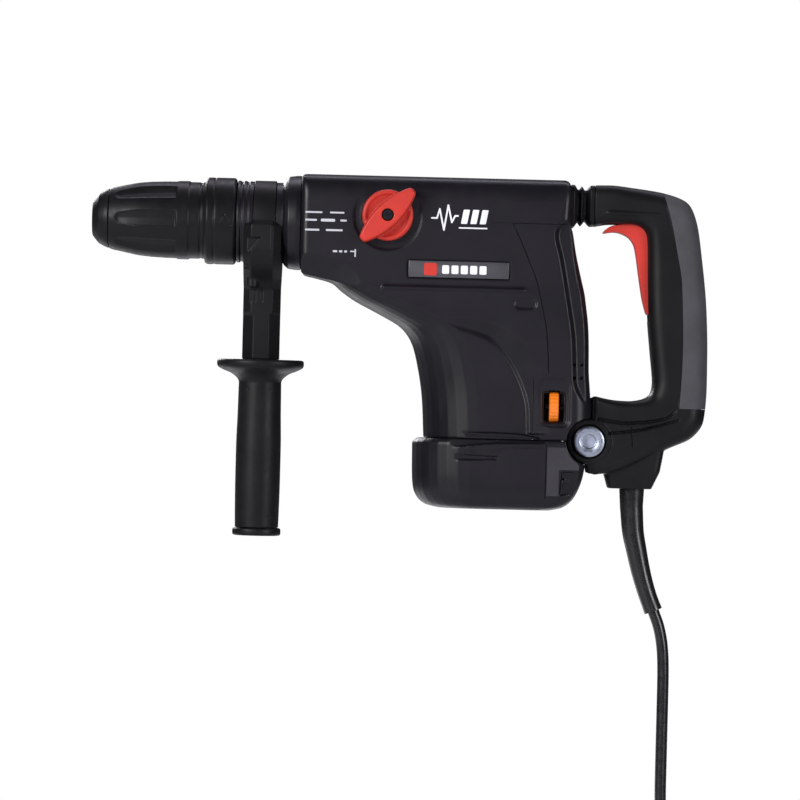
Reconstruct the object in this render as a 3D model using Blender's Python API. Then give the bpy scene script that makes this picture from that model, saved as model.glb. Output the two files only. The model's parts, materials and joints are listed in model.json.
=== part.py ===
"""Rotary hammer of the 5 kg class: tool holder, side handle, upright motor and damped D-handle.

Driving sizes are in millimetres. u runs back along the barrel from its nose, w runs up from the
barrel axis and y across the tool, towards its right-hand side. The world origin is in the middle
of the rear hand grip.
"""

import math

import bmesh
import bpy
from mathutils import Matrix, Vector

MM = 0.001
GAP = 0.3  # between pieces that touch

# Where the world origin lies
GRIP_U = 458.0
GRIP_W = -65.0

# Chuck
NOSE_BORE = 9.6  # radius of the mouth
HOLDER_BORE = 9.1
HOLDER_RADIUS = 22.0
SLEEVE_RADIUS = 30.6
SLEEVE_END = 96.0
SLEEVE_TRAVEL = 9.0
HOOD_RADIUS = 33.8
HOOD_FRONT = 88.0
HOOD_BACK = 112.0

# Nose collar and side handle
COLLAR_RADIUS = 36.7
COLLAR_BACK = 162.7
COLLAR_BORE = 25.8
BAND_FRONT = 126.0
BAND_BACK = 143.0
BAND_RADIUS = 32.2
BAND_WALL = 2.9
NECK_U = 133.5
NECK_HALF = 14.4
FLANGE_TOP = -107.3
FLANGE_THICK = 8.2
FLANGE_RADIUS = 34.0
SIDE_GRIP_RADIUS = 17.5
SIDE_GRIP_END = -238.0
END_CAP_RADIUS = 18.85
END_CAP_THICK = 6.0
ROD_RADIUS = 4.0

# Hammer mechanism
TUBE_RADIUS = 20.0
TUBE_BORE = 15.0
TUBE_END = 262.0
SLIDING_FIT = 0.4
IMPACT_BOLT_RADIUS = 8.8
STRIKER_U = 176.0
STRIKER_LENGTH = 26.0
PISTON_U = 216.0
PISTON_LENGTH = 30.0
WRIST_U = 236.0
WRIST_RADIUS = 3.0
CRANK_THROW = 11.0
CRANK_PIN_RADIUS = 5.0
ROD_HALF = 4.0

# Gear train, all on vertical axes
GEAR_MODULE = 1.5
MOTOR_TEETH = 8
CRANK_TEETH = 32
LAY_TEETH = 20
MOTOR_U = 318.0
GEAR_TOP = -46.0
GEAR_THICK = 6.0
BEVEL_SLOPE = 0.3  # pinion radius over ring radius

# Motor
ARMATURE_RADIUS = 22.0
STATOR_RADIUS = 36.0
SHAFT_RADIUS = 5.0
FAN_RADIUS = 35.0

# Housing
WALL = 3.5
HOUSING_TOP = 37.2
HOUSING_FRONT = 163.0
HOUSING_HALF = 44.0
BASE_SPLIT = -164.5
BASE_BOTTOM = -218.6
BASE_HALF = HOUSING_HALF + 3

# Controls on the left side
KNOB_U = 230.0
KNOB_W = 6.0
KNOB_RADIUS = 19.75
KNOB_BASE = -(0.92 * HOUSING_HALF + 0.8)  # the knob's inner face clears the shell
KNOB_TOP = KNOB_BASE - 7.2
LEVER_TOP = KNOB_TOP - 7.5
LEVER_LENGTH = 56.0
LEVER_WIDTH = 13.0
LEVER_ANGLE = 45.0
DIAL_U = 361.8
DIAL_W = -138.3
DIAL_RADIUS = 12.0
DIAL_THICK = 7.2
DIAL_Y = -(HOUSING_HALF - 10.5)

# Rear handle
PIVOT_U = 390.0
PIVOT_W = -164.5
PIVOT_RADIUS = 5.0
LUG_RADIUS = 15.0
LUG_HALF = 16.7
CHEEK_RADIUS = 17.0
CHEEK_HALF = 26.8
BOLT_HEAD_RADIUS = 12.0
GRIP_HALF = 19.0
SKIN = 3.0  # soft grip thickness
TRIGGER_HALF = 9.5
TRIGGER_PIVOT = (434.5, -60.0)

# Mains lead
CORD_RADIUS = 4.5
COIL_RADIUS = 46.0
COIL_CENTRE = (436.0, -580.0)
COIL_DEEP = 16.0
COIL_WIDE = 23.0

ROUND_STEPS = 24
SMALL_STEPS = 12
CORNER_STEPS = 4

BLACK = (0.012, 0.012, 0.014)
DARK = (0.022, 0.021, 0.027)
SOFT_GREY = (0.09, 0.09, 0.1)
RED = (0.65, 0.05, 0.035)
ORANGE = (0.85, 0.25, 0.02)
STEEL = (0.55, 0.57, 0.6)
COPPER = (0.6, 0.28, 0.12)
BRASS = (0.55, 0.4, 0.15)


def at(u, y, w):
    """World place, in metres, of a point given along, across and above the barrel in millimetres."""
    return Vector((u - GRIP_U, y, w - GRIP_W)) * MM


def clear_scene():
    for old in list(bpy.data.objects):
        bpy.data.objects.remove(old, do_unlink=True)


def material(colour, roughness, metallic):
    name = "finish_%02x%02x%02x_%d_%d" % (
        *(round(255 * part) for part in colour),
        round(100 * roughness),
        round(100 * metallic),
    )
    found = bpy.data.materials.get(name)
    if found:
        return found
    made = bpy.data.materials.new(name)
    made.use_nodes = True
    shader = made.node_tree.nodes["Principled BSDF"]
    shader.inputs["Base Color"].default_value = (*colour, 1)
    shader.inputs["Roughness"].default_value = roughness
    shader.inputs["Metallic"].default_value = metallic
    return made


def piece(name, bm, colour=BLACK, roughness=0.5, metallic=0.0, pivot=None):
    """Object made from a mesh in world metres, with its origin on the pivot."""
    pivot = pivot or Vector((0, 0, 0))
    bmesh.ops.recalc_face_normals(bm, faces=bm.faces)
    bmesh.ops.translate(bm, verts=bm.verts, vec=-pivot)
    mesh = bpy.data.meshes.new(name)
    bm.to_mesh(mesh)
    bm.free()
    mesh.materials.append(material(colour, roughness, metallic))
    mesh.shade_smooth()
    mesh.set_sharp_from_angle(angle=math.radians(35))
    made = bpy.data.objects.new(name, mesh)
    made.location = pivot
    bpy.context.scene.collection.objects.link(made)
    return made


def helper(name, bm):
    """Cutter or tool for a Boolean, which isn't a piece."""
    made = piece(name, bm)
    made.hide_render = True
    made.display_type = "WIRE"
    return made


def combine(target, tool, operation):
    step = target.modifiers.new(tool.name, "BOOLEAN")
    step.operation = operation
    step.solver = "EXACT"
    step.object = tool
    return target


def cut(target, name, bm):
    return combine(target, helper(name, bm), "DIFFERENCE")


def join(target, name, bm):
    return combine(target, helper(name, bm), "UNION")


def keep(target, name, bm):
    return combine(target, helper(name, bm), "INTERSECT")


def skin_loops(loops, closed=False):
    """Closed mesh over successive loops of points; a loop of one point is a tip."""
    bm = bmesh.new()
    rings = [[bm.verts.new(point) for point in loop] for loop in loops]
    pairs = list(zip(rings, rings[1:]))
    if closed:
        pairs.append((rings[-1], rings[0]))
    for first, second in pairs:
        count = max(len(first), len(second))
        for k in range(count):
            after = (k + 1) % count
            corners = (
                first[k % len(first)],
                first[after % len(first)],
                second[after % len(second)],
                second[k % len(second)],
            )
            bm.faces.new(dict.fromkeys(corners))
    if not closed:
        for ring in (rings[0], rings[-1]):
            if len(ring) > 2:
                bm.faces.new(ring)
    return bm


def circle(radius, steps, phase=0.0):
    turns = (phase + 2 * math.pi * k / steps for k in range(steps))
    return [(radius * math.cos(turn), radius * math.sin(turn)) for turn in turns]


def turned(profile, axis="u", centre=(0, 0), steps=ROUND_STEPS, hollow=False):
    """Turned solid. The profile lists (place along the axis, radius); a hollow one is a closed loop."""
    loops = []
    for along, radius in profile:
        points = circle(radius, steps) if radius else [(0, 0)]
        if axis == "u":
            loops.append([at(along, centre[0] + a, centre[1] + b) for a, b in points])
        elif axis == "w":
            loops.append([at(centre[0] + a, centre[1] + b, along) for a, b in points])
        else:
            loops.append([at(centre[0] + a, along, centre[1] + b) for a, b in points])
    return skin_loops(loops, closed=hollow)


def tube(start, end, outer, inner, axis="u", centre=(0, 0), steps=ROUND_STEPS):
    profile = [(start, inner), (start, outer), (end, outer), (end, inner)]
    return turned(profile, axis, centre, steps, hollow=True)


def rod(start, end, radius, axis="u", centre=(0, 0), steps=SMALL_STEPS):
    return turned([(start, radius), (end, radius)], axis, centre, steps)


def box(u, y, w):
    """Block between two places on each axis."""
    outline = [(u[0], w[0]), (u[1], w[0]), (u[1], w[1]), (u[0], w[1])]
    return side_plate(outline, y[0], y[1])


def side_plate(outline, low, high):
    """Flat plate with a (u, w) outline."""
    return skin_loops([[at(u, y, w) for u, w in outline] for y in (low, high)])


def level_plate(outline, low, high):
    """Flat plate with a (u, y) outline."""
    return skin_loops([[at(u, y, w) for u, y in outline] for w in (low, high)])


def arc(centre, radius, start, end, steps=CORNER_STEPS):
    """Points on an arc; the angles are in degrees."""
    angles = (math.radians(start + (end - start) * k / steps) for k in range(steps + 1))
    return [
        (centre[0] + radius * math.cos(turn), centre[1] + radius * math.sin(turn))
        for turn in angles
    ]


def slab(near, far, half, near_round, far_round):
    """Outline from near to far, half wide each side, with its two ends rounded."""
    near_round = min(near_round, half - 0.2)
    far_round = min(far_round, half - 0.2)
    near_side = near + near_round
    far_side = far - far_round
    return (
        arc((near_side, half - near_round), near_round, 180, 90)
        + arc((far_side, half - far_round), far_round, 90, 0)
        + arc((far_side, far_round - half), far_round, 0, -90)
        + arc((near_side, near_round - half), near_round, -90, -180)
    )


def station(near, far, half, near_round, far_round, inset=0.0):
    """Loop across a limb, from its near edge (u, w) to its far edge."""
    near = Vector(near)
    far = Vector(far)
    length = (far - near).length
    run = (far - near) / length
    points = slab(
        inset,
        length - inset,
        half - inset,
        max(near_round - inset, 1.0),
        max(far_round - inset, 1.0),
    )
    return [at(near.x + run.x * s, y, near.y + run.y * s) for s, y in points]


def helix(radius, wire, start, end, turns, to_world, steps=10, sides=5):
    """Coil spring of round wire, as loops of points from its start to its end."""
    loops = []
    count = round(turns * steps)
    for k in range(count + 1):
        turn = 2 * math.pi * k / steps
        along = start + (end - start) * k / count
        loops.append(
            [
                to_world(
                    along + wire * b,
                    (radius + wire * a) * math.cos(turn),
                    (radius + wire * a) * math.sin(turn),
                )
                for a, b in circle(1.0, sides)
            ]
        )
    return skin_loops(loops)


def gear_loop(teeth, phase=0.0):
    """Outline of a spur gear, with slim teeth that leave backlash."""
    pitch = GEAR_MODULE * teeth / 2
    tooth = 2 * math.pi / teeth
    corners = ((-0.23, -1.7), (-0.09, 1.15), (0.09, 1.15), (0.23, -1.7))
    return [
        (
            (pitch + rise) * math.cos(phase + tooth * (k + share)),
            (pitch + rise) * math.sin(phase + tooth * (k + share)),
        )
        for k in range(teeth)
        for share, rise in corners
    ]


CRANK_U = MOTOR_U - GEAR_MODULE * (MOTOR_TEETH + CRANK_TEETH) / 2
LAY_U = CRANK_U - GEAR_MODULE * (CRANK_TEETH + LAY_TEETH) / 2


def chuck():
    cap = [(0, NOSE_BORE), (0, 13), (0.4, 14), (5, 19.6), (9.6, 22), (12.8, 23.2), (12.8, NOSE_BORE)]
    piece("dust_cap", turned(cap, hollow=True), BLACK, 0.6)
    lip = HOLDER_RADIUS + GAP
    chamber = 27.0
    sleeve = [
        (13.1, lip), (13.1, 23.3), (18.9, 25), (28.2, 27.2), (37.5, 29), (51.5, 30.1),
        (74.9, SLEEVE_RADIUS), (76, 29.8), (SLEEVE_END, 29.8), (SLEEVE_END, lip),
        (SLEEVE_END - 4, lip), (SLEEVE_END - 4, chamber), (40, chamber), (38, lip),
    ]
    made = piece("lock_sleeve", turned(sleeve, hollow=True, steps=32), BLACK, 0.55)
    for k in range(8):
        flute = flute_cutter(math.radians(22.5 + 45 * k))
        cut(made, "flute_%d" % k, flute)
    hood_room = SLEEVE_END + SLEEVE_TRAVEL + 1.5
    hood = [
        (HOOD_FRONT, 31.2), (HOOD_FRONT, 32.4), (HOOD_FRONT + 2, HOOD_RADIUS),
        (HOOD_BACK - 1.5, HOOD_RADIUS), (HOOD_BACK, 32.4), (HOOD_BACK, lip), (hood_room, lip),
        (hood_room, 31.2),
    ]
    piece("index_ring", turned(hood, hollow=True), BLACK, 0.5)
    holder = tube(13.1, HOOD_BACK + 0.1, HOLDER_RADIUS, HOLDER_BORE)
    made = piece("tool_holder", holder, STEEL, 0.35, 1.0)
    for side, name in ((-1, "left"), (1, "right")):
        low, high = sorted((side * 8.0, side * 23.0))
        cut(made, "bar_slot_" + name, box((55, 72.5), (low, high), (-3.2, 3.2)))
        low, high = sorted((side * 9.5, side * (HOLDER_RADIUS - 0.6)))
        bar = box((56.2, 71.5), (low, high), (-2.8, 2.8))
        piece("locking_bar_" + name, bar, STEEL, 0.3, 1.0)
    piece("retaining_ring", tube(80, 82, 26.4, lip), STEEL, 0.35, 1.0)
    spring = helix(24.6, 1.2, 43.5, 77.5, 6, lambda along, y, w: at(along, y, w))
    piece("sleeve_spring", spring, STEEL, 0.3, 1.0)


def flute_cutter(turn):
    """Long shallow scallop in the sleeve, as an oblong bar lying along it."""
    centre = 37.5
    profile = [(17, 0), (18.5, 4.0), (24, 6.0), (56, 6.0), (64, 4.0), (66, 0)]
    loops = []
    for along, radius in profile:
        lift = centre + (along - 40) * 0.09 - 1.8
        ring = []
        for a, b in circle(radius, 10) if radius else [(0, 0)]:
            side = 1.15 * a
            out = lift + b
            y = out * math.cos(turn) - side * math.sin(turn)
            w = out * math.sin(turn) + side * math.cos(turn)
            ring.append(at(along, y, w))
        loops.append(ring)
    return skin_loops(loops)


def nose():
    groove = BAND_RADIUS - BAND_WALL - GAP
    outer = [
        (112.5, BAND_RADIUS - 0.6), (BAND_FRONT - GAP, BAND_RADIUS - 1), (BAND_FRONT - GAP, groove),
        (BAND_BACK + GAP, groove), (BAND_BACK + GAP, BAND_RADIUS - 1.2), (148.6, BAND_RADIUS - 1.2),
        (150, COLLAR_RADIUS - 3.3), (153, COLLAR_RADIUS - 0.9),
        (159, COLLAR_RADIUS), (COLLAR_BACK, COLLAR_RADIUS),
    ]
    collar = [(112.5, COLLAR_BORE), *outer, (COLLAR_BACK, COLLAR_BORE)]
    piece("nose_collar", turned(collar, hollow=True), DARK, 0.45)
    race = COLLAR_BORE - GAP
    shaft = TUBE_RADIUS + GAP
    piece("shaft_seal", tube(114, 117, race, shaft), BLACK, 0.7)
    piece("spindle_bearing", tube(118, 130, race, shaft), STEEL, 0.25, 1.0)
    # The side handle's steel band and moulded saddle
    band = tube(BAND_FRONT, BAND_BACK, BAND_RADIUS, BAND_RADIUS - BAND_WALL)
    piece("clamp_band", band, BLACK, 0.45, 0.4, at(NECK_U, 0, 0))
    shoulder = BAND_RADIUS + 5.8
    stations = [
        (0, 119, 148, shoulder), (-22, 119, 148, shoulder), (4 - BAND_RADIUS - 7.8, 119, 148, 31),
        (-BAND_RADIUS - 13.8, 119, 148, 20),
        (-54, NECK_U - NECK_HALF, NECK_U + NECK_HALF, NECK_HALF),
        (FLANGE_TOP + GAP, NECK_U - NECK_HALF, NECK_U + NECK_HALF, NECK_HALF),
    ]
    loops = [station((front, w), (back, w), half, 5.5, 5.5) for w, front, back, half in stations]
    saddle = piece("clamp_saddle", skin_loops(loops), DARK, 0.5, 0, at(NECK_U, 0, 0))
    cut(saddle, "saddle_seat", rod(110, 155, BAND_RADIUS + GAP, steps=ROUND_STEPS))
    neck = (NECK_U, 0)
    cut(saddle, "neck_bore", rod(-120, -20, ROD_RADIUS + GAP, "w", neck))
    rod_end = FLANGE_TOP - 30
    head = -BAND_RADIUS - 6.8
    head_radius = ROD_RADIUS + 3.5
    bolt = [
        (head, 0), (head, head_radius), (head - 3, head_radius), (head - 3, ROD_RADIUS),
        (rod_end, ROD_RADIUS), (rod_end, 0),
    ]
    bolt_pivot = at(NECK_U, 0, FLANGE_TOP)
    piece("clamp_bolt", turned(bolt, "w", neck, SMALL_STEPS), STEEL, 0.3, 1.0, at(NECK_U, 0, 0))
    cut(saddle, "bolt_head_seat", rod(head - 3 - SLIDING_FIT, -20, head_radius + SLIDING_FIT, "w", neck))
    side_grip(neck, bolt_pivot)


def side_grip(neck, pivot):
    """Rubber grip that screws onto the bolt, with a hand guard at its top and a cap at its end."""
    flange_base = FLANGE_TOP - FLANGE_THICK
    profile = [
        (FLANGE_TOP, 0), (FLANGE_TOP, FLANGE_RADIUS - 2.5), (FLANGE_TOP - 2, FLANGE_RADIUS),
        (flange_base + 2, FLANGE_RADIUS), (flange_base, FLANGE_RADIUS - 4),
        (flange_base - 3, SIDE_GRIP_RADIUS + 4), (flange_base - 9, SIDE_GRIP_RADIUS - 1),
        (-150, SIDE_GRIP_RADIUS - 0.6), (-175, SIDE_GRIP_RADIUS),
        (-200, SIDE_GRIP_RADIUS), (SIDE_GRIP_END, SIDE_GRIP_RADIUS - 0.6), (SIDE_GRIP_END, 0),
    ]
    made = piece("side_grip", turned(profile, "w", neck), BLACK, 0.65, 0, pivot)
    cut(made, "grip_bore", rod(FLANGE_TOP - 32, FLANGE_TOP + 5, ROD_RADIUS + GAP, "w", neck))
    end = SIDE_GRIP_END - GAP
    cap = [
        (end, 0), (end, END_CAP_RADIUS - 1.5), (end - 1.5, END_CAP_RADIUS),
        (end - END_CAP_THICK + 1.5, END_CAP_RADIUS), (end - END_CAP_THICK, END_CAP_RADIUS - 1.5),
        (end - END_CAP_THICK, 0),
    ]
    piece("end_cap", turned(cap, "w", neck), BLACK, 0.5, 0, pivot)


def hammer_mechanism():
    shaft = TUBE_RADIUS
    slide = TUBE_BORE - SLIDING_FIT
    barrel = [
        (112.6, IMPACT_BOLT_RADIUS + SLIDING_FIT), (112.6, shaft), (TUBE_END, shaft), (TUBE_END, TUBE_BORE),
        (153, TUBE_BORE), (153, 12.5), (132, 12.5), (132, IMPACT_BOLT_RADIUS + SLIDING_FIT),
    ]
    piece("hammer_tube", turned(barrel, hollow=True), STEEL, 0.3, 1.0)
    bolt = [
        (86, 0), (86, 7), (88, IMPACT_BOLT_RADIUS), (136, IMPACT_BOLT_RADIUS), (136, 12), (149, 12),
        (149, 8), (156, 8), (156, 0),
    ]
    piece("impact_bolt", turned(bolt), STEEL, 0.3, 1.0, at(140, 0, 0))
    back = STRIKER_U + STRIKER_LENGTH
    ram = [
        (STRIKER_U, 0), (STRIKER_U, 8), (STRIKER_U + 6, 8), (STRIKER_U + 6, slide),
        (STRIKER_U + 14, slide), (STRIKER_U + 14, slide - 2), (STRIKER_U + 17, slide - 2),
        (STRIKER_U + 17, slide), (back, slide), (back, 0),
    ]
    piece("striker", turned(ram), STEEL, 0.3, 1.0, at(STRIKER_U, 0, 0))
    end = PISTON_U + PISTON_LENGTH
    wrist = (WRIST_U, 0)
    head = piece("piston", rod(PISTON_U, end, slide, steps=ROUND_STEPS), STEEL, 0.35, 1.0, at(PISTON_U, 0, 0))
    cut(head, "piston_pocket", box((WRIST_U - 8, end + 1), (-10.5, 10.5), (-ROD_HALF - 1, ROD_HALF + 1)))
    cut(head, "wrist_bore", rod(-16, 16, WRIST_RADIUS + GAP, "w", wrist))
    pin = rod(-12, 12, WRIST_RADIUS, "w", wrist)
    piece("wrist_pin", pin, STEEL, 0.25, 1.0, at(WRIST_U, 0, 0))
    big_end = CRANK_U - CRANK_THROW
    blank = connecting_rod_blank(big_end)
    link = piece("connecting_rod", blank, STEEL, 0.3, 1.0, at(WRIST_U, 0, 0))
    cut(link, "small_end_bore", rod(-9, 9, WRIST_RADIUS + GAP, "w", wrist))
    cut(link, "big_end_bore", rod(-9, 9, CRANK_PIN_RADIUS + GAP, "w", (big_end, 0)))


def connecting_rod_blank(big_end):
    """Flat link with two eyes; its outline runs round the small end and then the big one."""
    small = arc((WRIST_U, 0), 6.0, 40, 320, 10)
    big = arc((big_end, 0), 8.5, -150, 150, 12)
    return level_plate(small + big, -ROD_HALF, ROD_HALF)


def gear_train():
    top = GEAR_TOP
    base = top - GEAR_THICK
    plate_top = -61.5
    plate_base = -66.0
    lay = (LAY_U, 0)
    crank = (CRANK_U, 0)
    motor = (MOTOR_U, 0)
    half_tooth = math.pi / CRANK_TEETH
    # Crank: gear, disc and pin in one forging, turning in a bearing in the plate
    teeth = [(CRANK_U + a, b) for a, b in gear_loop(CRANK_TEETH, half_tooth)]
    made = piece("crank_gear", level_plate(teeth, base, top), STEEL, 0.35, 1.0, at(CRANK_U, 0, 0))
    join(made, "crank_disc", rod(top - 1, -12, 17, "w", crank, ROUND_STEPS))
    pin_centre = (CRANK_U - CRANK_THROW, 0)
    join(made, "crank_pin", rod(-13, -ROD_HALF - 0.6, CRANK_PIN_RADIUS, "w", pin_centre))
    join(made, "crank_shaft", rod(plate_base, base + 1, 7, "w", crank))
    bearing = tube(plate_base, plate_top, 13, 7 + GAP, "w", crank, 24)
    piece("crank_bearing", bearing, STEEL, 0.25, 1.0)
    # Lay shaft with its spur gear and the bevel pinion that turns the barrel
    teeth = [(LAY_U + a, b) for a, b in gear_loop(LAY_TEETH)]
    made = piece("bevel_pinion_shaft", level_plate(teeth, base, top), STEEL, 0.35, 1.0, at(LAY_U, 0, 0))
    far = 33  # as wide as the shells leave room for
    near = TUBE_RADIUS + 1
    pinion = [
        (plate_base, 0), (plate_base, SHAFT_RADIUS), (-far, SHAFT_RADIUS),
        (-far, BEVEL_SLOPE * far - 0.5), (-near, BEVEL_SLOPE * near - 0.5), (-near, 0),
    ]
    join(made, "bevel_pinion", turned(pinion, "w", lay, 24))
    inner = TUBE_RADIUS + GAP
    far_face = LAY_U - far * BEVEL_SLOPE - 0.5
    near_face = LAY_U - (near + 1) * BEVEL_SLOPE - 0.5
    ring = [
        (far_face - 1.6, inner), (far_face - 1.6, far), (far_face, far), (near_face, near + 1),
        (near_face, inner),
    ]
    piece("bevel_ring_gear", turned(ring, hollow=True), STEEL, 0.35, 1.0)
    # Plate between gearbox and motor
    edge = slab(231, 350, HOUSING_HALF - WALL - 4, 34, 8)
    made = piece("bearing_plate", level_plate(edge, plate_base, plate_top), STEEL, 0.5, 0.8)
    cut(made, "crank_bearing_bore", rod(-70, -58, 13 + GAP, "w", crank, 24))
    cut(made, "lay_shaft_bore", rod(-70, -58, SHAFT_RADIUS + GAP, "w", lay))
    cut(made, "motor_bearing_bore", rod(-70, -58, 10 + GAP, "w", motor, 24))
    race = tube(plate_base, plate_top, 10, SHAFT_RADIUS + GAP, "w", motor, 24)
    piece("motor_bearing_upper", race, STEEL, 0.25, 1.0)


def motor():
    centre = (MOTOR_U, 0)
    pivot = at(MOTOR_U, 0, 0)
    half_tooth = math.pi / MOTOR_TEETH
    # The tooth that faces the crank gear lines up with a gap there
    teeth = [(MOTOR_U + a, b) for a, b in gear_loop(MOTOR_TEETH, 0.0)]
    top = GEAR_TOP + 0.5
    made = piece("armature", level_plate(teeth, top - GEAR_THICK - 1, top), STEEL, 0.4, 1.0, pivot)
    join(made, "armature_shaft", rod(-184, top - 1, SHAFT_RADIUS - 1.2, "w", centre))
    core = [
        (-92, 0), (-92, 14), (-96, 18), (-100, ARMATURE_RADIUS), (-134, ARMATURE_RADIUS), (-138, 16),
        (-142, 12), (-142, 0),
    ]
    join(made, "armature_core", turned(core, "w", centre, 24))
    shaft = SHAFT_RADIUS - 1.2 + GAP
    piece("commutator", tube(-158, -143, 13, shaft, "w", centre, 24), COPPER, 0.3, 1.0, pivot)
    fan = tube(-86, -84, FAN_RADIUS, shaft, "w", centre, 24)
    made = piece("cooling_fan", fan, BLACK, 0.5, 0, pivot)
    join(made, "fan_hub", tube(-85, -72, 9, shaft, "w", centre, 16))
    for k in range(9):
        turn = Matrix.Rotation(2 * math.pi * k / 9, 4, "Z")
        blade = box((8, FAN_RADIUS - 1), (-0.8, 0.8), (-85, -73))
        offset = at(0, 0, 0)
        bmesh.ops.translate(blade, verts=blade.verts, vec=(-offset.x, 0, 0))
        bmesh.ops.transform(blade, matrix=turn, verts=blade.verts)
        bmesh.ops.translate(blade, verts=blade.verts, vec=(pivot.x, 0, 0))
        join(made, "fan_blade_%d" % k, blade)
    stack = tube(-138, -94, STATOR_RADIUS, ARMATURE_RADIUS + 0.8, "w", centre)
    piece("stator", stack, STEEL, 0.5, 0.8)
    piece("motor_bearing_lower", tube(-184, -177, 11, shaft, "w", centre, 24), STEEL, 0.25, 1.0)
    for side, name in ((-1, "left"), (1, "right")):
        low, high = sorted((side * 13.4, side * 30))
        brush = box((MOTOR_U - 3, MOTOR_U + 3), (low, high), (-154, -148))
        piece("carbon_brush_" + name, brush, BLACK, 0.4)
        low, high = sorted((side * 17, side * 37))
        block = box((MOTOR_U - 6, MOTOR_U + 6), (low, high), (-157, -145))
        holder = piece("brush_holder_" + name, block, BRASS, 0.35, 1.0)
        low, high = sorted((side * 10, side * 34))
        channel = box((MOTOR_U - 3.4, MOTOR_U + 3.4), (low, high), (-154.4, -147.6))
        cut(holder, "brush_channel_" + name, channel)


# Level sections of the housing: height, front, rear, share of the half width, front rounding, rear rounding
HOUSING_SECTIONS = (
    (HOUSING_TOP, HOUSING_FRONT + 2, 368, 0.60, 4, 4),
    (34.8, HOUSING_FRONT, 370.5, 0.74, 4, 4),
    (29.5, HOUSING_FRONT, 371.5, 0.85, 5, 5),
    (20, HOUSING_FRONT, 372, 0.905, 6, 6),
    (2.5, HOUSING_FRONT, 372, 0.92, 6, 8),
    (-4, HOUSING_FRONT, 373.5, 0.925, 6, 10),
    (-20, HOUSING_FRONT, 376.4, 0.93, 6, 12),
    (-39, 164, 380.9, 0.935, 8, 14),
    (-42.5, 175, 381.8, 0.937, 14, 14),
    (-46, 187, 382.7, 0.94, 22, 14),
    (-52.5, 195, 384.1, 0.95, 30, 14),
    (-60, 206, 385.2, 0.96, 36, 14),
    (-69.3, 224, 386.5, 0.975, 41, 14),
    (-80.5, 243, 387.5, 0.99, 43, 14),
    (-92, 251, 388, 1.0, 43, 14),
    (-110, 256, 388.4, 1.0, 43, 14),
    (-135, 260, 390.3, 1.0, 43, 14),
    (BASE_SPLIT, 261.8, 390.8, 1.0, 43, 14),
)
BASE_SECTIONS = (
    (BASE_SPLIT - GAP, 257, 388.5, 0.985, 43, 12),
    (-169, 253.2, 389, 1.0, 44, 12),
    (-192, 253.6, 385.5, 1.0, 44, 12),
    (-203, 254.6, 381.8, 0.99, 44, 12),
    (-211, 258, 377, 0.95, 42, 12),
    (-216.3, 264.5, 370, 0.87, 38, 12),
    (BASE_BOTTOM, 274, 361, 0.75, 32, 12),
)
CHIN_TOP = -30.0
CHIN_BASE = -115.0


def level_loft(sections, half, inset=0.0):
    """Solid through level sections, which an inset draws in all round."""
    return skin_loops(
        [
            station((front, w), (rear, w), half * share, front_round, rear_round, inset)
            for w, front, rear, share, front_round, rear_round in sections
        ]
    )


def seam_line(shift=0.0):
    """The joint between the two shells and the rear cover, from its top rear end down to the base."""
    return [
        (385 + shift, 2.5 - shift), (327 + shift, 2.5 - shift), (338 + shift, -22), (346.5 + shift, -43),
        (354.5 + shift, -79), (357 + shift, -112), (345.5 + shift, -116), (345.5 + shift, -175),
    ]


def housing():
    rear_region = seam_line(GAP) + [(400, -175), (400, 2.5 - GAP)]
    far = 60.0
    for side, name in ((-1, "left"), (1, "right")):
        made = piece(name + "_shell", level_loft(HOUSING_SECTIONS, HOUSING_HALF), DARK, 0.42)
        cut(made, name + "_hollow", shell_hollow())
        cut(made, name + "_front_bore", rod(150, 175, COLLAR_BORE, steps=ROUND_STEPS))
        cut(made, name + "_rear_region", side_plate(seam_line() + [(400, -175), (400, 2.5)], -far, far))
        low, high = sorted((side * GAP / 2, side * far))
        keep(made, name + "_half", box((140, 400), (low, high), (-180, 60)))
        if side < 0:
            cut(made, "selector_bore", rod(-far, -20, 6.0 + SLIDING_FIT, "y", (KNOB_U, KNOB_W)))
    cover = piece("rear_cover", level_loft(HOUSING_SECTIONS, HOUSING_HALF), DARK, 0.42)
    cut(cover, "cover_hollow", shell_hollow())
    keep(cover, "cover_region", side_plate(rear_region, -far, far))
    pivot = (PIVOT_U, PIVOT_W)
    cut(cover, "cheek_room", rod(-far, far, CHEEK_RADIUS + 1.0, "y", pivot, ROUND_STEPS))
    lug = rod(-LUG_HALF, LUG_HALF, LUG_RADIUS, "y", pivot, ROUND_STEPS)
    join(cover, "pivot_lug", lug)
    root = [(374, -140), (389.5, -140), (389.5, -160), (374, -160)]
    join(cover, "lug_root", side_plate(root, -LUG_HALF, LUG_HALF))
    cut(cover, "pivot_bore", rod(-far, far, PIVOT_RADIUS + GAP, "y", pivot))
    dial_room = box(
        (DIAL_U - DIAL_THICK / 2 - 0.6, DIAL_U + DIAL_THICK / 2 + 0.6),
        (-far, -HOUSING_HALF + 2 * WALL + 1),
        (DIAL_W - DIAL_RADIUS - 0.6, DIAL_W + DIAL_RADIUS + 0.6),
    )
    cut(cover, "dial_slot", dial_room)
    base = piece("base_cover", level_loft(BASE_SECTIONS, BASE_HALF), DARK, 0.4)
    open_top = (BASE_SPLIT + 14.5, *BASE_SECTIONS[0][1:])
    cut(base, "base_hollow", level_loft((open_top, *BASE_SECTIONS[:5]), BASE_HALF, WALL))
    cut(base, "base_boss_room", rod(-far, far, CHEEK_RADIUS + 1.4, "y", pivot, ROUND_STEPS))


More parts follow.
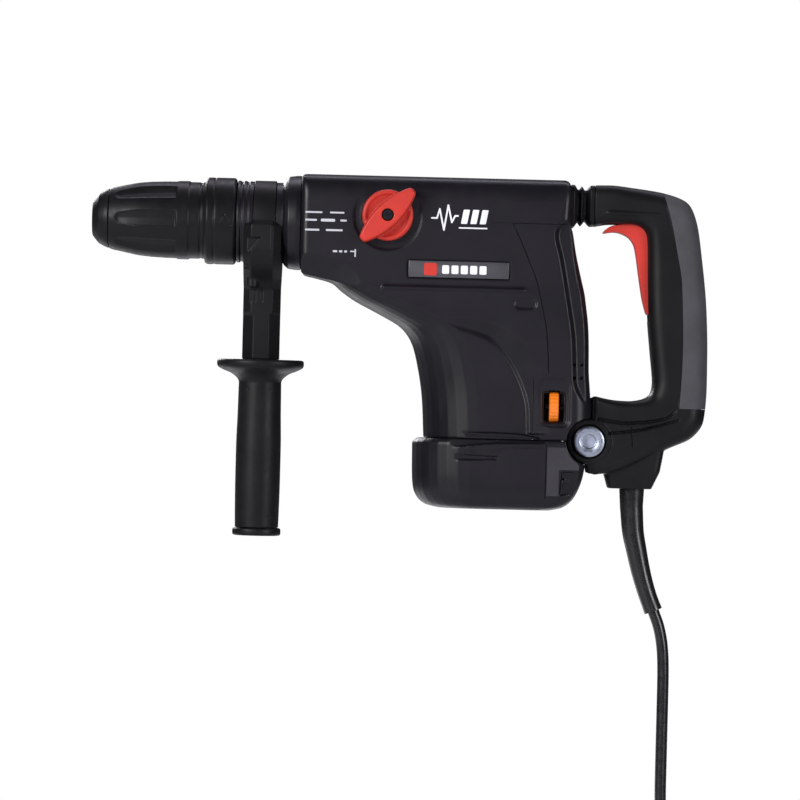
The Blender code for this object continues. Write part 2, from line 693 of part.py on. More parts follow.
def shell_hollow():
    """Room inside the housing, open downwards into the base. It is lifted by a wall over the sloping chin."""
    rows = [(HOUSING_TOP - WALL, *HOUSING_SECTIONS[1][1:])]
    for w, *rest in HOUSING_SECTIONS[2:]:
        over_chin = CHIN_BASE < w < CHIN_TOP
        rows.append((w + WALL if over_chin else w, *rest))
    rows.append((BASE_SPLIT - 6, *HOUSING_SECTIONS[-1][1:]))
    return level_loft(rows, HOUSING_HALF, WALL)


def controls():
    knob_place = at(KNOB_U, KNOB_BASE, KNOB_W)
    profile = [
        (KNOB_BASE, 0), (KNOB_BASE, KNOB_RADIUS), (KNOB_TOP + 2, KNOB_RADIUS),
        (KNOB_TOP, KNOB_RADIUS - 2), (KNOB_TOP, 0),
    ]
    disc = turned(profile, "y", (KNOB_U, KNOB_W), 32)
    knob = piece("selector_knob", disc, RED, 0.4, 0, knob_place)
    lever = slab(-LEVER_LENGTH / 2, LEVER_LENGTH / 2, LEVER_WIDTH / 2, 3.5, 3.5)
    turn = math.radians(LEVER_ANGLE)
    outline = [
        (
            KNOB_U + a * math.cos(turn) - b * math.sin(turn),
            KNOB_W + a * math.sin(turn) + b * math.cos(turn),
        )
        for a, b in lever
    ]
    centre = (KNOB_U, KNOB_W)
    seat = KNOB_TOP - 2.5
    join(knob, "knob_lever", side_plate(outline, LEVER_TOP, KNOB_TOP + 4.5))
    cut(knob, "knob_screw_seat", rod(LEVER_TOP - 1, seat, 4.8, "y", centre))
    screw = rod(LEVER_TOP + 1.5, seat - GAP, 4.4, "y", centre)
    piece("selector_screw", screw, STEEL, 0.4, 1.0, knob_place)
    shaft = rod(KNOB_BASE + GAP, -TUBE_RADIUS - 7, 6.0, "y", centre)
    made = piece("selector_shaft", shaft, STEEL, 0.4, 1.0, knob_place)
    eccentric = rod(-TUBE_RADIUS - 8, -TUBE_RADIUS - 2, 2, "y", (KNOB_U + 3, KNOB_W))
    join(made, "selector_eccentric", eccentric)
    dial_faces = (DIAL_U - DIAL_THICK / 2, DIAL_U + DIAL_THICK / 2)
    dial = rod(*dial_faces, DIAL_RADIUS, "u", (DIAL_Y, DIAL_W), 28)
    made = piece("speed_dial", dial, ORANGE, 0.4, 0, at(DIAL_U, DIAL_Y, DIAL_W))
    cut(made, "dial_bore", rod(DIAL_U - 12, DIAL_U + 12, 2.5, "u", (DIAL_Y, DIAL_W)))
    module = piece("electronics_module", box((356.5, 375), (-24, 24), (-112, -60)), BLACK, 0.5)
    spindle = rod(DIAL_U - 6, DIAL_U + 12, 2.2, "u", (DIAL_Y, DIAL_W))
    near = dial_faces[1] + 2.4
    foot = [(near, -110), (near + 6, -110), (near + 6, DIAL_W - 2.7), (near, DIAL_W - 2.7)]
    join(module, "dial_arm", side_plate(foot, DIAL_Y - 0.5, -18))
    join(module, "dial_spindle", spindle)


def bellows():
    front = 372 + GAP
    back = PIVOT_U + 0.5 - GAP
    folds = (
        (0.0, 0.5), (0.12, 0.5), (0.3, -3.2), (0.44, -0.6), (0.6, -3.6), (0.76, -1.0), (0.86, 0.2),
        (1.0, 0.2),
    )
    loops = []
    for share, swell in folds:
        u = front + share * (back - front)
        base = 2.2 + 1.2 * share
        loops.append(station((u, base - swell), (u, 34.2 + swell), 17.5 + swell, 6, 6))
    made = piece("bellows_boot", skin_loops(loops), BLACK, 0.6)
    hole = [station((u, 8.5), (u, 28), 10.5, 5, 5) for u in (front - 2, back + 2)]
    cut(made, "boot_hole", skin_loops(hole))
    spring = helix(7.0, 1.2, front + 1.5, back - 1.5, 4, lambda along, y, w: at(along, y, w + 18.2))
    piece("damper_spring", spring, STEEL, 0.3, 1.0)


# Sections of the D-handle: inner edge, outer edge, half width, and the rounding at each edge
HANDLE_STATIONS = (
    ((PIVOT_U + 0.5, 3.0), (PIVOT_U + 0.5, 34.8), GRIP_HALF, 7, 9),
    ((403, 5.0), (403, 35.0), GRIP_HALF + 0.5, 8, 9),
    ((419, 5.2), (420.5, 33.3), GRIP_HALF + 0.8, 9, 10),
    ((427.6, 2.2), (446, 29.6), GRIP_HALF + 1, 11, 12),
    ((431.4, -3.8), (463.5, 22.5), GRIP_HALF + 0.8, 12, 14),
    ((432.2, -13), (470.8, 7.5), GRIP_HALF + 0.4, 12, 15),
    ((432.6, -30), (475.7, -22), GRIP_HALF, 12, 15),
    ((433.8, -62), (480, -60), GRIP_HALF, 12, 15),
    ((436.7, -92), (481.5, -93), GRIP_HALF, 12, 15),
    ((439.4, -117), (481.7, -120), GRIP_HALF + 0.3, 12, 15),
    ((438.0, -126), (479.8, -146), GRIP_HALF + 0.8, 11, 15),
    ((431.5, -130.8), (471, -159.6), GRIP_HALF + 1.5, 9, 14),
    ((421, -132.4), (452, -168.9), GRIP_HALF + 2.5, 7, 12),
    ((410, -132.0), (427, -181), GRIP_HALF + 4.5, 6, 9),
    ((400.6, -130.6), (406, -188.5), GRIP_HALF + 6.5, 5, 7),
    ((394.4, -129.2), (394.4, -190.2), CHEEK_HALF, 4, 6),
)
SKIN_FRONT = (
    (443.5, 45), (444, 29.5), (450, 9), (456, -20), (459, -36), (460.4, -56), (461.5, -88),
    (461, -115), (459.7, -137.4),
)


def limb(stations, inset=0.0):
    return skin_loops([station(*row, inset=inset) for row in stations])


def skin_region(shift=0.0):
    """Side outline of the rear part of the grip, which the soft skin covers."""
    last_u, last_w = SKIN_FRONT[-1]
    front = [(u - shift, w) for u, w in SKIN_FRONT[:-1]]
    return front + [(last_u - shift, last_w - shift), (500, last_w - shift), (500, 45)]


def rear_handle():
    far = 60.0
    pivot = (PIVOT_U, PIVOT_W)
    world_pivot = at(PIVOT_U, 0, PIVOT_W)
    slot = [(394, 12), (448, 12), (448, -70), (426, -70), (426, -12), (394, -12)]
    for side, name in ((-1, "left"), (1, "right")):
        made = piece("handle_" + name, limb(HANDLE_STATIONS), BLACK, 0.5, 0, world_pivot)
        cut(made, name + "_skin_room", side_plate(skin_region(GAP), -far, far))
        join(made, name + "_core", limb(HANDLE_STATIONS[2:13], SKIN + GAP))
        gland = [
            station((404, -160), (451, -160), 17, 6, 6),
            station((402.6, -187), (446.3, -187), 17, 6, 6),
            station((406.5, -200.5), (440, -200.5), 15.5, 5, 5),
        ]
        join(made, name + "_gland", skin_loops(gland))
        join(made, name + "_cheek", rod(-CHEEK_HALF, CHEEK_HALF, CHEEK_RADIUS, "y", pivot, ROUND_STEPS))
        lug_room = LUG_HALF + 2 * GAP
        cut(made, name + "_lug_room", rod(-lug_room, lug_room, LUG_RADIUS + 3.5, "y", pivot, ROUND_STEPS))
        cut(made, name + "_pivot_bore", rod(-far, far, PIVOT_RADIUS + GAP, "y", pivot))
        slot_half = TRIGGER_HALF + 2 * GAP
        cut(made, name + "_trigger_slot", side_plate(slot, -slot_half, slot_half))
        cut(made, name + "_switch_pocket", box((447, 469), (-10, 10), (-62, -16)))
        cut(made, name + "_cord_bore", rod(-215, -178, 8, "w", (425.4, 0)))
        low, high = sorted((side * GAP / 2, side * far))
        keep(made, name + "_side", box((360, 500), (low, high), (-230, 60)))
    skin = piece("soft_grip", limb(HANDLE_STATIONS[2:13]), SOFT_GREY, 0.7, 0, world_pivot)
    keep(skin, "skin_region", side_plate(skin_region(), -far, far))
    cut(skin, "skin_core", limb(HANDLE_STATIONS[1:14], SKIN))
    outline = [
        (396.7, -2.6), (400, 1.4), (404.5, 3.9), (421, 6.5), (431, 5.5), (437, 0), (439, -10), (438.6, -40),
        (437.4, -64), (433.2, -65.5), (431.1, -58.4), (429.3, -51.3), (426.6, -35.3), (424.2, -19.5),
        (422.4, -10.8), (418.4, -5.1), (412, -1.9), (405.7, -0.9),
    ]
    trigger_pivot = at(TRIGGER_PIVOT[0], 0, TRIGGER_PIVOT[1])
    made = piece("trigger", side_plate(outline, -TRIGGER_HALF, TRIGGER_HALF), RED, 0.4, 0, trigger_pivot)
    edges = made.modifiers.new("soft_edges", "BEVEL")
    edges.width = 1.2 * MM
    edges.segments = 2
    edges.limit_method = "ANGLE"
    edges.angle_limit = math.radians(60)
    piece("switch_module", box((449, 467.5), (-9, 9), (-60, -18)), BLACK, 0.5, 0, world_pivot)


def handle_bolt():
    pivot = (PIVOT_U, PIVOT_W)
    face = CHEEK_HALF + GAP
    profile = [
        (-face - 2.2, 0), (-face - 2.2, BOLT_HEAD_RADIUS - 1), (-face - 1.4, BOLT_HEAD_RADIUS),
        (-face, BOLT_HEAD_RADIUS), (-face, PIVOT_RADIUS), (face + 7, PIVOT_RADIUS), (face + 7, 0),
    ]
    bolt = piece("pivot_bolt", turned(profile, "y", pivot), STEEL, 0.35, 1.0, at(PIVOT_U, 0, PIVOT_W))
    cut(bolt, "bolt_recess", rod(-face - 4, -face - 0.8, 5.3, "y", pivot))
    nut = piece("pivot_nut", rod(face, face + 6, 9, "y", pivot, 6), STEEL, 0.35, 1.0, at(PIVOT_U, 0, PIVOT_W))
    cut(nut, "nut_bore", rod(face - 1, face + 8, PIVOT_RADIUS + GAP, "y", pivot))


def bent_rod(stations, steps=SMALL_STEPS):
    """Round bar of changing radius along a bent centreline of (u, w, radius) in the middle plane."""
    loops = []
    for k, (u, w, radius) in enumerate(stations):
        before = stations[max(k - 1, 0)]
        after = stations[min(k + 1, len(stations) - 1)]
        heading = Vector((after[0] - before[0], after[1] - before[1])).normalized()
        across = Vector((heading.y, -heading.x))
        loops.append([at(u + across.x * a, b, w + across.y * a) for a, b in circle(radius, steps)])
    return skin_loops(loops)


SLEEVE_ROUTE = (
    (425.4, -184, 7.6), (425.4, -200.78, 7.6), (425.4, -200.8, 9.75), (425.5, -214, 9.0),
    (427.1, -233, 8.5),
    (430.2, -248, 8.0), (433.9, -264, 7.5), (438.3, -279, 7.1), (441.4, -287.5, 7.0),
    (444.6, -295.5, 7.2),
)
# The lead's free stretch, from the strain relief down to its coil
CORD_ROUTE = (
    (444.72, 0, -295.8), (449.2, 0, -308), (452.1, 0, -322), (453.4, 0, -340), (453.6, 0, -370),
    (453.6, 0, -405), (453.7, 0, -438), (454.6, 0, -462), (457.0, 0, -485), (461.0, 0, -505),
    (466.5, 0, -520),
)
PLUG_U = COIL_CENTRE[0] + COIL_RADIUS
PLUG_TOP = COIL_CENTRE[1] - 48.0


def smooth_points(route, per_span):
    """Points of a smooth curve through the route (Catmull-Rom)."""
    points = [Vector(point) for point in route]
    ends = [2 * points[0] - points[1], *points, 2 * points[-1] - points[-2]]
    found = []
    for k in range(1, len(ends) - 2):
        a, b, c, d = ends[k - 1 : k + 3]
        for step in range(per_span):
            t = step / per_span
            bend = 2 * a - 5 * b + 4 * c - d
            twist = 3 * b - a - 3 * c + d
            found.append(0.5 * (2 * b + (c - a) * t + bend * t**2 + twist * t**3))
    return [*found, points[-1]]


def mains_lead():
    piece("strain_relief", bent_rod(SLEEVE_ROUTE), BLACK, 0.6, 0, at(PIVOT_U, 0, PIVOT_W))
    data = bpy.data.curves.new("power_cord", "CURVE")
    data.dimensions = "3D"
    data.bevel_depth = CORD_RADIUS * MM
    data.bevel_resolution = 2
    data.use_fill_caps = True
    points = smooth_points(CORD_ROUTE, 2)
    spline = data.splines.new("POLY")
    spline.points.add(len(points) - 1)
    for target, point in zip(spline.points, points):
        target.co = (*at(*point), 1)
    data.materials.append(material(BLACK, 0.6, 0.0))
    cord = bpy.data.objects.new("power_cord", data)
    bpy.context.scene.collection.objects.link(cord)
    inner = COIL_RADIUS - COIL_DEEP
    outer = COIL_RADIUS + COIL_DEEP
    profile = [
        (-COIL_WIDE + 6, inner), (-COIL_WIDE, inner + 6), (-COIL_WIDE, outer - 6), (-COIL_WIDE + 6, outer),
        (COIL_WIDE - 6, outer), (COIL_WIDE, outer - 6), (COIL_WIDE, inner + 6), (COIL_WIDE - 6, inner),
    ]
    piece("cord_coil", turned(profile, "y", COIL_CENTRE, 24, hollow=True), BLACK, 0.6)
    centre = (PLUG_U, 0)
    body = [
        (PLUG_TOP, 0), (PLUG_TOP, 5.8), (PLUG_TOP - 22, 8), (PLUG_TOP - 28, 8.5), (PLUG_TOP - 31, 16),
        (PLUG_TOP - 35, 18), (PLUG_TOP - 60, 18), (PLUG_TOP - 66, 16.5), (PLUG_TOP - 66, 0),
    ]
    plug = piece("plug", turned(body, "w", centre, 24), BLACK, 0.5)
    for side in (-1, 1):
        pin = rod(PLUG_TOP - 85, PLUG_TOP - 64, 2.4, "w", (PLUG_U, side * 9.5))
        join(plug, "plug_pin_%d" % side, pin)


def badge():
    face = 0.938 * HOUSING_HALF
    outline = [(246.7, -27.9), (324.8, -27.9), (324.8, -41.2), (246.7, -41.2)]
    piece("badge_plate", side_plate(outline, -face - 1.5, -face - GAP), BLACK, 0.3)


clear_scene()
chuck()
nose()
hammer_mechanism()
gear_train()
motor()
housing()
controls()
bellows()
badge()
rear_handle()
handle_bolt()
mains_lead()
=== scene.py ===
"""Looks of the rotary hammer: fine shells, grips, chuck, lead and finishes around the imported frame.

Sizes are in millimetres along the barrel from its nose (u), across the tool (y) and up from the
barrel axis (w). at() turns them into the frame's metres.
"""

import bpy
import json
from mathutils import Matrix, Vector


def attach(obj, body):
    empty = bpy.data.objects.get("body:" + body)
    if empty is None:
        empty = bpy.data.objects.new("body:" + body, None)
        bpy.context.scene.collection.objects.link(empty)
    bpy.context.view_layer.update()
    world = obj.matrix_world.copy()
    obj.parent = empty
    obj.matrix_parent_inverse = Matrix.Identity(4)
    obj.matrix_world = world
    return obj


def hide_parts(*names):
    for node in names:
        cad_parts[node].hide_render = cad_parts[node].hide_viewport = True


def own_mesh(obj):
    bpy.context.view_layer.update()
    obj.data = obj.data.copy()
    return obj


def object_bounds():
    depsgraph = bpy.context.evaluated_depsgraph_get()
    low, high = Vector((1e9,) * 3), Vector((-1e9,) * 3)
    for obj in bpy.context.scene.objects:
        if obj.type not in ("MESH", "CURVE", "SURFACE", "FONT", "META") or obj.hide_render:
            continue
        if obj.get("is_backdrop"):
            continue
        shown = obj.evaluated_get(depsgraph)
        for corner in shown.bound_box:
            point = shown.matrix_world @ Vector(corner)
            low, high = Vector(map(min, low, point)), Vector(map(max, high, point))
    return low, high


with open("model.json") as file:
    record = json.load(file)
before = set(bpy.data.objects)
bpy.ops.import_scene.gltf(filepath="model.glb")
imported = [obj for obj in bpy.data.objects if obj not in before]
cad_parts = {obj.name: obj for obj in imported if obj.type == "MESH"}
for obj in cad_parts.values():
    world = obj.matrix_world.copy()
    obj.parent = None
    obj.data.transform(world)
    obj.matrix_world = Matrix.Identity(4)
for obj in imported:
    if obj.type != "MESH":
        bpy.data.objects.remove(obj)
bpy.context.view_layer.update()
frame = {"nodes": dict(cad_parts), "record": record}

import json
import math

import bmesh
import bpy
from mathutils import Matrix, Vector

MM = 0.001
GRIP_U = 458.0
GRIP_W = -65.0
GAP = 0.3  # between pieces that touch
OUT = 60.0  # past every side face


# ---------------------------------------------------------------- shapes


def at(u, y, w):
    """Place in the frame, in metres."""
    return Vector((u - GRIP_U, y, w - GRIP_W)) * MM


def arc(centre, radius, start, end, steps=10):
    """Points on an arc; the angles are in degrees."""
    angles = (math.radians(start + (end - start) * k / steps) for k in range(steps + 1))
    return [
        (centre[0] + radius * math.cos(turn), centre[1] + radius * math.sin(turn))
        for turn in angles
    ]


def circle(radius, steps):
    turns = (2 * math.pi * k / steps for k in range(steps))
    return [(radius * math.cos(turn), radius * math.sin(turn)) for turn in turns]


def eased(rows, steps):
    """Rows of numbers with steps more between each two, on a smooth curve that never overshoots."""
    columns = list(zip(*rows))
    found = []
    for k in range(len(rows) - 1):
        for step in range(steps):
            t = step / steps
            found.append([eased_value(column, k, t) for column in columns])
    found.append(list(rows[-1]))
    return found


def eased_value(column, k, t):
    rise = column[k + 1] - column[k]
    before = column[k] - column[k - 1] if k else rise
    after = column[k + 2] - column[k + 1] if k + 2 < len(column) else rise
    start = gentle(before, rise)
    end = gentle(rise, after)
    return column[k] + t * start + t * t * (3 * rise - 2 * start - end) + t**3 * (start + end - 2 * rise)


def gentle(a, b):
    """Slope at a point between two rises, 0 where they turn round."""
    return 0 if a * b <= 0 else 2 * a * b / (a + b)


def smooth_points(route, per_span):
    """Points of a smooth curve through the route (Catmull-Rom)."""
    points = [Vector(point) for point in route]
    ends = [2 * points[0] - points[1], *points, 2 * points[-1] - points[-2]]
    found = []
    for k in range(1, len(ends) - 2):
        a, b, c, d = ends[k - 1 : k + 3]
        for step in range(per_span):
            t = step / per_span
            bend = 2 * a - 5 * b + 4 * c - d
            twist = 3 * b - a - 3 * c + d
            found.append(0.5 * (2 * b + (c - a) * t + bend * t**2 + twist * t**3))
    return [*found, points[-1]]


def skin_loops(loops, closed=False):
    """Closed mesh over successive loops of points; a loop of one point is a tip."""
    bm = bmesh.new()
    rings = [[bm.verts.new(point) for point in loop] for loop in loops]
    pairs = list(zip(rings, rings[1:]))
    if closed:
        pairs.append((rings[-1], rings[0]))
    for first, second in pairs:
        count = max(len(first), len(second))
        for k in range(count):
            after = (k + 1) % count
            corners = (
                first[k % len(first)],
                first[after % len(first)],
                second[after % len(second)],
                second[k % len(second)],
            )
            bm.faces.new(dict.fromkeys(corners))
    if not closed:
        for ring in (rings[0], rings[-1]):
            if len(ring) > 2:
                bm.faces.new(ring)
    bmesh.ops.recalc_face_normals(bm, faces=bm.faces)
    return bm


def turned(profile, axis="u", centre=(0, 0), steps=96, hollow=False):
    """Turned solid. The profile lists (place along the axis, radius); a hollow one is a closed loop."""
    loops = []
    for along, radius in profile:
        points = circle(radius, steps) if radius else [(0, 0)]
        if axis == "u":
            loops.append([at(along, centre[0] + a, centre[1] + b) for a, b in points])
        elif axis == "w":
            loops.append([at(centre[0] + a, centre[1] + b, along) for a, b in points])
        else:
            loops.append([at(centre[0] + a, along, centre[1] + b) for a, b in points])
    return skin_loops(loops, closed=hollow)


def rod(start, end, radius, axis="u", centre=(0, 0), steps=64):
    return turned([(start, radius), (end, radius)], axis, centre, steps)


def side_plate(outline, low, high):
    """Flat plate with a (u, w) outline."""
    return skin_loops([[at(u, y, w) for u, w in outline] for y in (low, high)])


def box(u, y, w):
    return side_plate([(u[0], w[0]), (u[1], w[0]), (u[1], w[1]), (u[0], w[1])], y[0], y[1])


def outward(side, near, far):
    """Range across the tool, from near to far from the middle on one side."""
    return sorted((side * near, side * far))


def slab(near, far, half, near_round, far_round, steps=10):
    """Outline from near to far, half wide each side, with its two ends rounded."""
    near_round = min(near_round, half - 0.2)
    far_round = min(far_round, half - 0.2)
    near_side = near + near_round
    far_side = far - far_round
    return (
        arc((near_side, half - near_round), near_round, 180, 90, steps)
        + arc((far_side, half - far_round), far_round, 90, 0, steps)
        + arc((far_side, far_round - half), far_round, 0, -90, steps)
        + arc((near_side, near_round - half), near_round, -90, -180, steps)
    )


def pill(centre, length, height, tilt=0.0):
    """Rounded bar outline round a (u, w) centre, tilted in degrees."""
    turn = math.radians(tilt)
    outline = slab(-length / 2, length / 2, height / 2, height / 2 - 0.05, height / 2 - 0.05, 8)
    return [
        (
            centre[0] + a * math.cos(turn) - b * math.sin(turn),
            centre[1] + a * math.sin(turn) + b * math.cos(turn),
        )
        for a, b in outline
    ]


def stroke(start, end, height, extra):
    """Pill outline between two (u, w) points, longer than their distance by extra."""
    middle = ((start[0] + end[0]) / 2, (start[1] + end[1]) / 2)
    tilt = math.degrees(math.atan2(end[1] - start[1], end[0] - start[0]))
    return pill(middle, math.dist(start, end) + extra, height, tilt)


def softened(points, size, closed=True, steps=4):
    """Outline with each corner drawn out to a small curve of that size."""
    points = [Vector(point) for point in points]
    found = []
    for k, corner in enumerate(points):
        if not closed and k in (0, len(points) - 1):
            found.append(tuple(corner))
            continue
        before = points[k - 1] - corner
        after = points[(k + 1) % len(points)] - corner
        start = corner + before * min(size / before.length, 0.45)
        end = corner + after * min(size / after.length, 0.45)
        for step in range(steps + 1):
            t = step / steps
            found.append(tuple(start * (1 - t) ** 2 + corner * 2 * t * (1 - t) + end * t * t))
    return found


# ---------------------------------------------------------------- objects and modifiers


def solid(name, bm):
    mesh = bpy.data.meshes.new(name)
    bm.to_mesh(mesh)
    bm.free()
    made = bpy.data.objects.new(name, mesh)
    bpy.context.scene.collection.objects.link(made)
    return made


def applied(made):
    """The object with its modifiers made real."""
    bpy.context.view_layer.update()
    graph = bpy.context.evaluated_depsgraph_get()
    mesh = bpy.data.meshes.new_from_object(made.evaluated_get(graph))
    old = made.data
    made.modifiers.clear()
    made.data = mesh
    bpy.data.meshes.remove(old)
    return made


def combine(made, bm, operation):
    tool = solid("tool", bm)
    step = made.modifiers.new("step", "BOOLEAN")
    step.operation = operation
    step.solver = "MANIFOLD"
    step.object = tool
    applied(made)
    bpy.data.objects.remove(tool, do_unlink=True)
    return made


def cut(made, *shapes):
    for bm in shapes:
        combine(made, bm, "DIFFERENCE")
    return made


def join(made, *shapes):
    for bm in shapes:
        combine(made, bm, "UNION")
    return made


def keep(made, bm):
    return combine(made, bm, "INTERSECT")


def refined(made, voxel, rounding=3, share=0.5):
    """Remeshed finely, its edges rounded a little, then thinned where it is flat."""
    step = made.modifiers.new("fine", "REMESH")
    step.mode = "VOXEL"
    step.voxel_size = voxel * MM
    if rounding:
        step = made.modifiers.new("soft", "SMOOTH")
        step.factor = 0.5
        step.iterations = rounding
    if share < 1:
        step = made.modifiers.new("thin", "DECIMATE")
        step.ratio = share
    return applied(made)


def bevelled(made, size, segments=2, angle=30):
    """The object with its edges rounded, where they are sharper than the angle."""
    step = made.modifiers.new("soft", "BEVEL")
    step.width = size * MM
    step.segments = segments
    step.angle_limit = math.radians(angle)
    return applied(made)


def shape_of(made):
    """Shape of an object, which is removed, to cut another with."""
    bm = bmesh.new()
    bm.from_mesh(made.data)
    bpy.data.objects.remove(made, do_unlink=True)
    return bm


def twin(made, name):
    """Copy with its own mesh."""
    copy = bpy.data.objects.new(name, made.data.copy())
    bpy.context.scene.collection.objects.link(copy)
    return copy


def piece(made, body, finish, nodes=(), sharp=38):
    """Names the finish, body and CAD nodes of a finished shape."""
    if made.type == "MESH":
        made.data.shade_smooth()
        made.data.set_sharp_from_angle(angle=math.radians(sharp))
    made.data.materials.clear()
    made.data.materials.append(finish)
    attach(made, body)
    if nodes:
        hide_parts(*nodes)
    return made


# ---------------------------------------------------------------- finishes


def new_material(name, colour, roughness, metallic=0.0, coat=0.0, specular=0.5):
    """Material, its node tree, its shader, and an Object coordinate that all its patterns share."""
    made = bpy.data.materials.new(name)
    made.use_nodes = True
    tree = made.node_tree
    shader = tree.nodes["Principled BSDF"]
    shader.inputs["Base Color"].default_value = (*colour, 1)
    shader.inputs["Roughness"].default_value = roughness
    shader.inputs["Metallic"].default_value = metallic
    shader.inputs["Coat Weight"].default_value = coat
    shader.inputs["Coat Roughness"].default_value = 0.25
    shader.inputs["Specular IOR Level"].default_value = specular
    place = tree.nodes.new("ShaderNodeTexCoord").outputs["Object"]
    return made, tree, shader, place


def noise(tree, place, size_mm, detail=2.0, stretch=None):
    """Noise with bumps about size_mm wide, stretched along an axis if asked."""
    if stretch:
        scaled = tree.nodes.new("ShaderNodeMapping")
        scaled.inputs["Scale"].default_value = stretch
        tree.links.new(place, scaled.inputs["Vector"])
        place = scaled.outputs["Vector"]
    made = tree.nodes.new("ShaderNodeTexNoise")
    made.inputs["Scale"].default_value = 1000 / size_mm
    made.inputs["Detail"].default_value = detail
    tree.links.new(place, made.inputs["Vector"])
    return made.outputs["Fac"]


def spread(tree, value, low, high, out_low, out_high):
    """The value from low to high, mapped to out_low to out_high."""
    made = tree.nodes.new("ShaderNodeMapRange")
    for name, number in zip(("From Min", "From Max", "To Min", "To Max"), (low, high, out_low, out_high)):
        made.inputs[name].default_value = number
    tree.links.new(value, made.inputs["Value"])
    return made.outputs["Result"]


def blended(tree, share, first, second):
    """Colour between two, by a share."""
    made = tree.nodes.new("ShaderNodeMix")
    made.data_type = "RGBA"
    tree.links.new(share, made.inputs["Factor"])
    for socket, value in zip((made.inputs[6], made.inputs[7]), (first, second)):
        if isinstance(value, tuple):
            socket.default_value = (*value, 1)
        else:
            tree.links.new(value, socket)
    return made.outputs[2]


def bump(tree, shader, height, depth_mm, strength=1.0, below=None):
    made = tree.nodes.new("ShaderNodeBump")
    made.inputs["Distance"].default_value = depth_mm * MM
    made.inputs["Strength"].default_value = strength
    tree.links.new(height, made.inputs["Height"])
    if below:
        tree.links.new(below, made.inputs["Normal"])
    tree.links.new(made.outputs["Normal"], shader.inputs["Normal"])
    return made.outputs["Normal"]


def edge_share(tree, low, high):
    """1 along outer edges, where rubbed wear and a painted rim highlight are laid, 0 elsewhere."""
    edges = tree.nodes.new("ShaderNodeNewGeometry")
    return spread(tree, edges.outputs["Pointiness"], low, high, 0.0, 1.0)


def multiplied(tree, first, second):
    made = tree.nodes.new("ShaderNodeMath")
    made.operation = "MULTIPLY"
    for socket, value in zip(made.inputs, (first, second)):
        if isinstance(value, float):
            socket.default_value = value
        else:
            tree.links.new(value, socket)
    return made.outputs["Value"]


def moulded(name, colour, roughness, grain_mm=0.55, grain_depth=0.035, coat=0.0, edge_wear_and_highlight=0.35, specular=0.5):
    """Moulded plastic: spark-eroded grain, cloudy sheen, handling marks, and edges painted paler, partly as
    rubbed wear and partly as a painted rim highlight.
    """
    made, tree, shader, place = new_material(name, colour, roughness, 0.0, coat, specular)
    clouds = noise(tree, place, 38, 3)
    paler = tuple(min(1.0, part * 1.22 + 0.0012) for part in colour)
    darker = tuple(part * 0.86 for part in colour)
    body = blended(tree, spread(tree, clouds, 0.3, 0.7, 0.0, 1.0), darker, paler)
    # Pointiness lightens the outer edges: partly rubbed wear, partly a painted rim highlight where light
    # would catch the rounded edges.
    edge_wear_and_highlight_mask = multiplied(tree, edge_share(tree, 0.515, 0.57), noise(tree, place, 6, 4))
    edge_wear_and_highlight_colour = tuple(min(1.0, part * 1.4 + 0.006) for part in colour)
    body = blended(tree, multiplied(tree, edge_wear_and_highlight_mask, edge_wear_and_highlight), body, edge_wear_and_highlight_colour)
    tree.links.new(body, shader.inputs["Base Color"])
    smears = noise(tree, place, 14, 4, (1.0, 1.0, 0.45))
    uneven = spread(tree, smears, 0.25, 0.75, roughness - 0.05, roughness + 0.06)
    tree.links.new(uneven, shader.inputs["Roughness"])
    grain = noise(tree, place, grain_mm, 3)
    ripple = bump(tree, shader, clouds, 0.25, 0.35)
    bump(tree, shader, grain, grain_depth, 0.5, ripple)
    return made


def rubbery(name, colour, roughness, grain_mm=0.8, grain_depth=0.06, specular=0.17):
    """Moulded rubber: matt, fine pores, and a faint grey bloom."""
    made, tree, shader, place = new_material(name, colour, roughness, 0.0, 0.0, specular)
    shader.inputs["Sheen Weight"].default_value = 0.015
    shader.inputs["Sheen Roughness"].default_value = 0.5
    bloom = noise(tree, place, 22, 4)
    grey = tuple(min(1.0, part * 1.3 + 0.0015) for part in colour)
    body = blended(tree, spread(tree, bloom, 0.35, 0.75, 0.0, 1.0), colour, grey)
    tree.links.new(body, shader.inputs["Base Color"])
    marks = noise(tree, place, 5, 5)
    uneven = spread(tree, marks, 0.3, 0.7, roughness - 0.05, roughness + 0.07)
    tree.links.new(uneven, shader.inputs["Roughness"])
    bump(tree, shader, noise(tree, place, grain_mm, 4), grain_depth, 0.6)
    return made


def machined(name, colour, roughness, stretch=(1.0, 1.0, 9.0), lay_mm=2.2):
    """Metal with the lay of its machining, small scratches and duller patches."""
    made, tree, shader, place = new_material(name, colour, roughness, 1.0)
    lay = noise(tree, place, lay_mm, 5, stretch)
    patches = noise(tree, place, 9, 4)
    dull = tuple(part * 0.72 for part in colour)
    body = blended(tree, spread(tree, patches, 0.35, 0.75, 0.0, 1.0), colour, dull)
    tree.links.new(body, shader.inputs["Base Color"])
    uneven = spread(tree, lay, 0.25, 0.75, roughness - 0.1, roughness + 0.12)
    tree.links.new(uneven, shader.inputs["Roughness"])
    bump(tree, shader, lay, 0.02, 0.5)
    return made


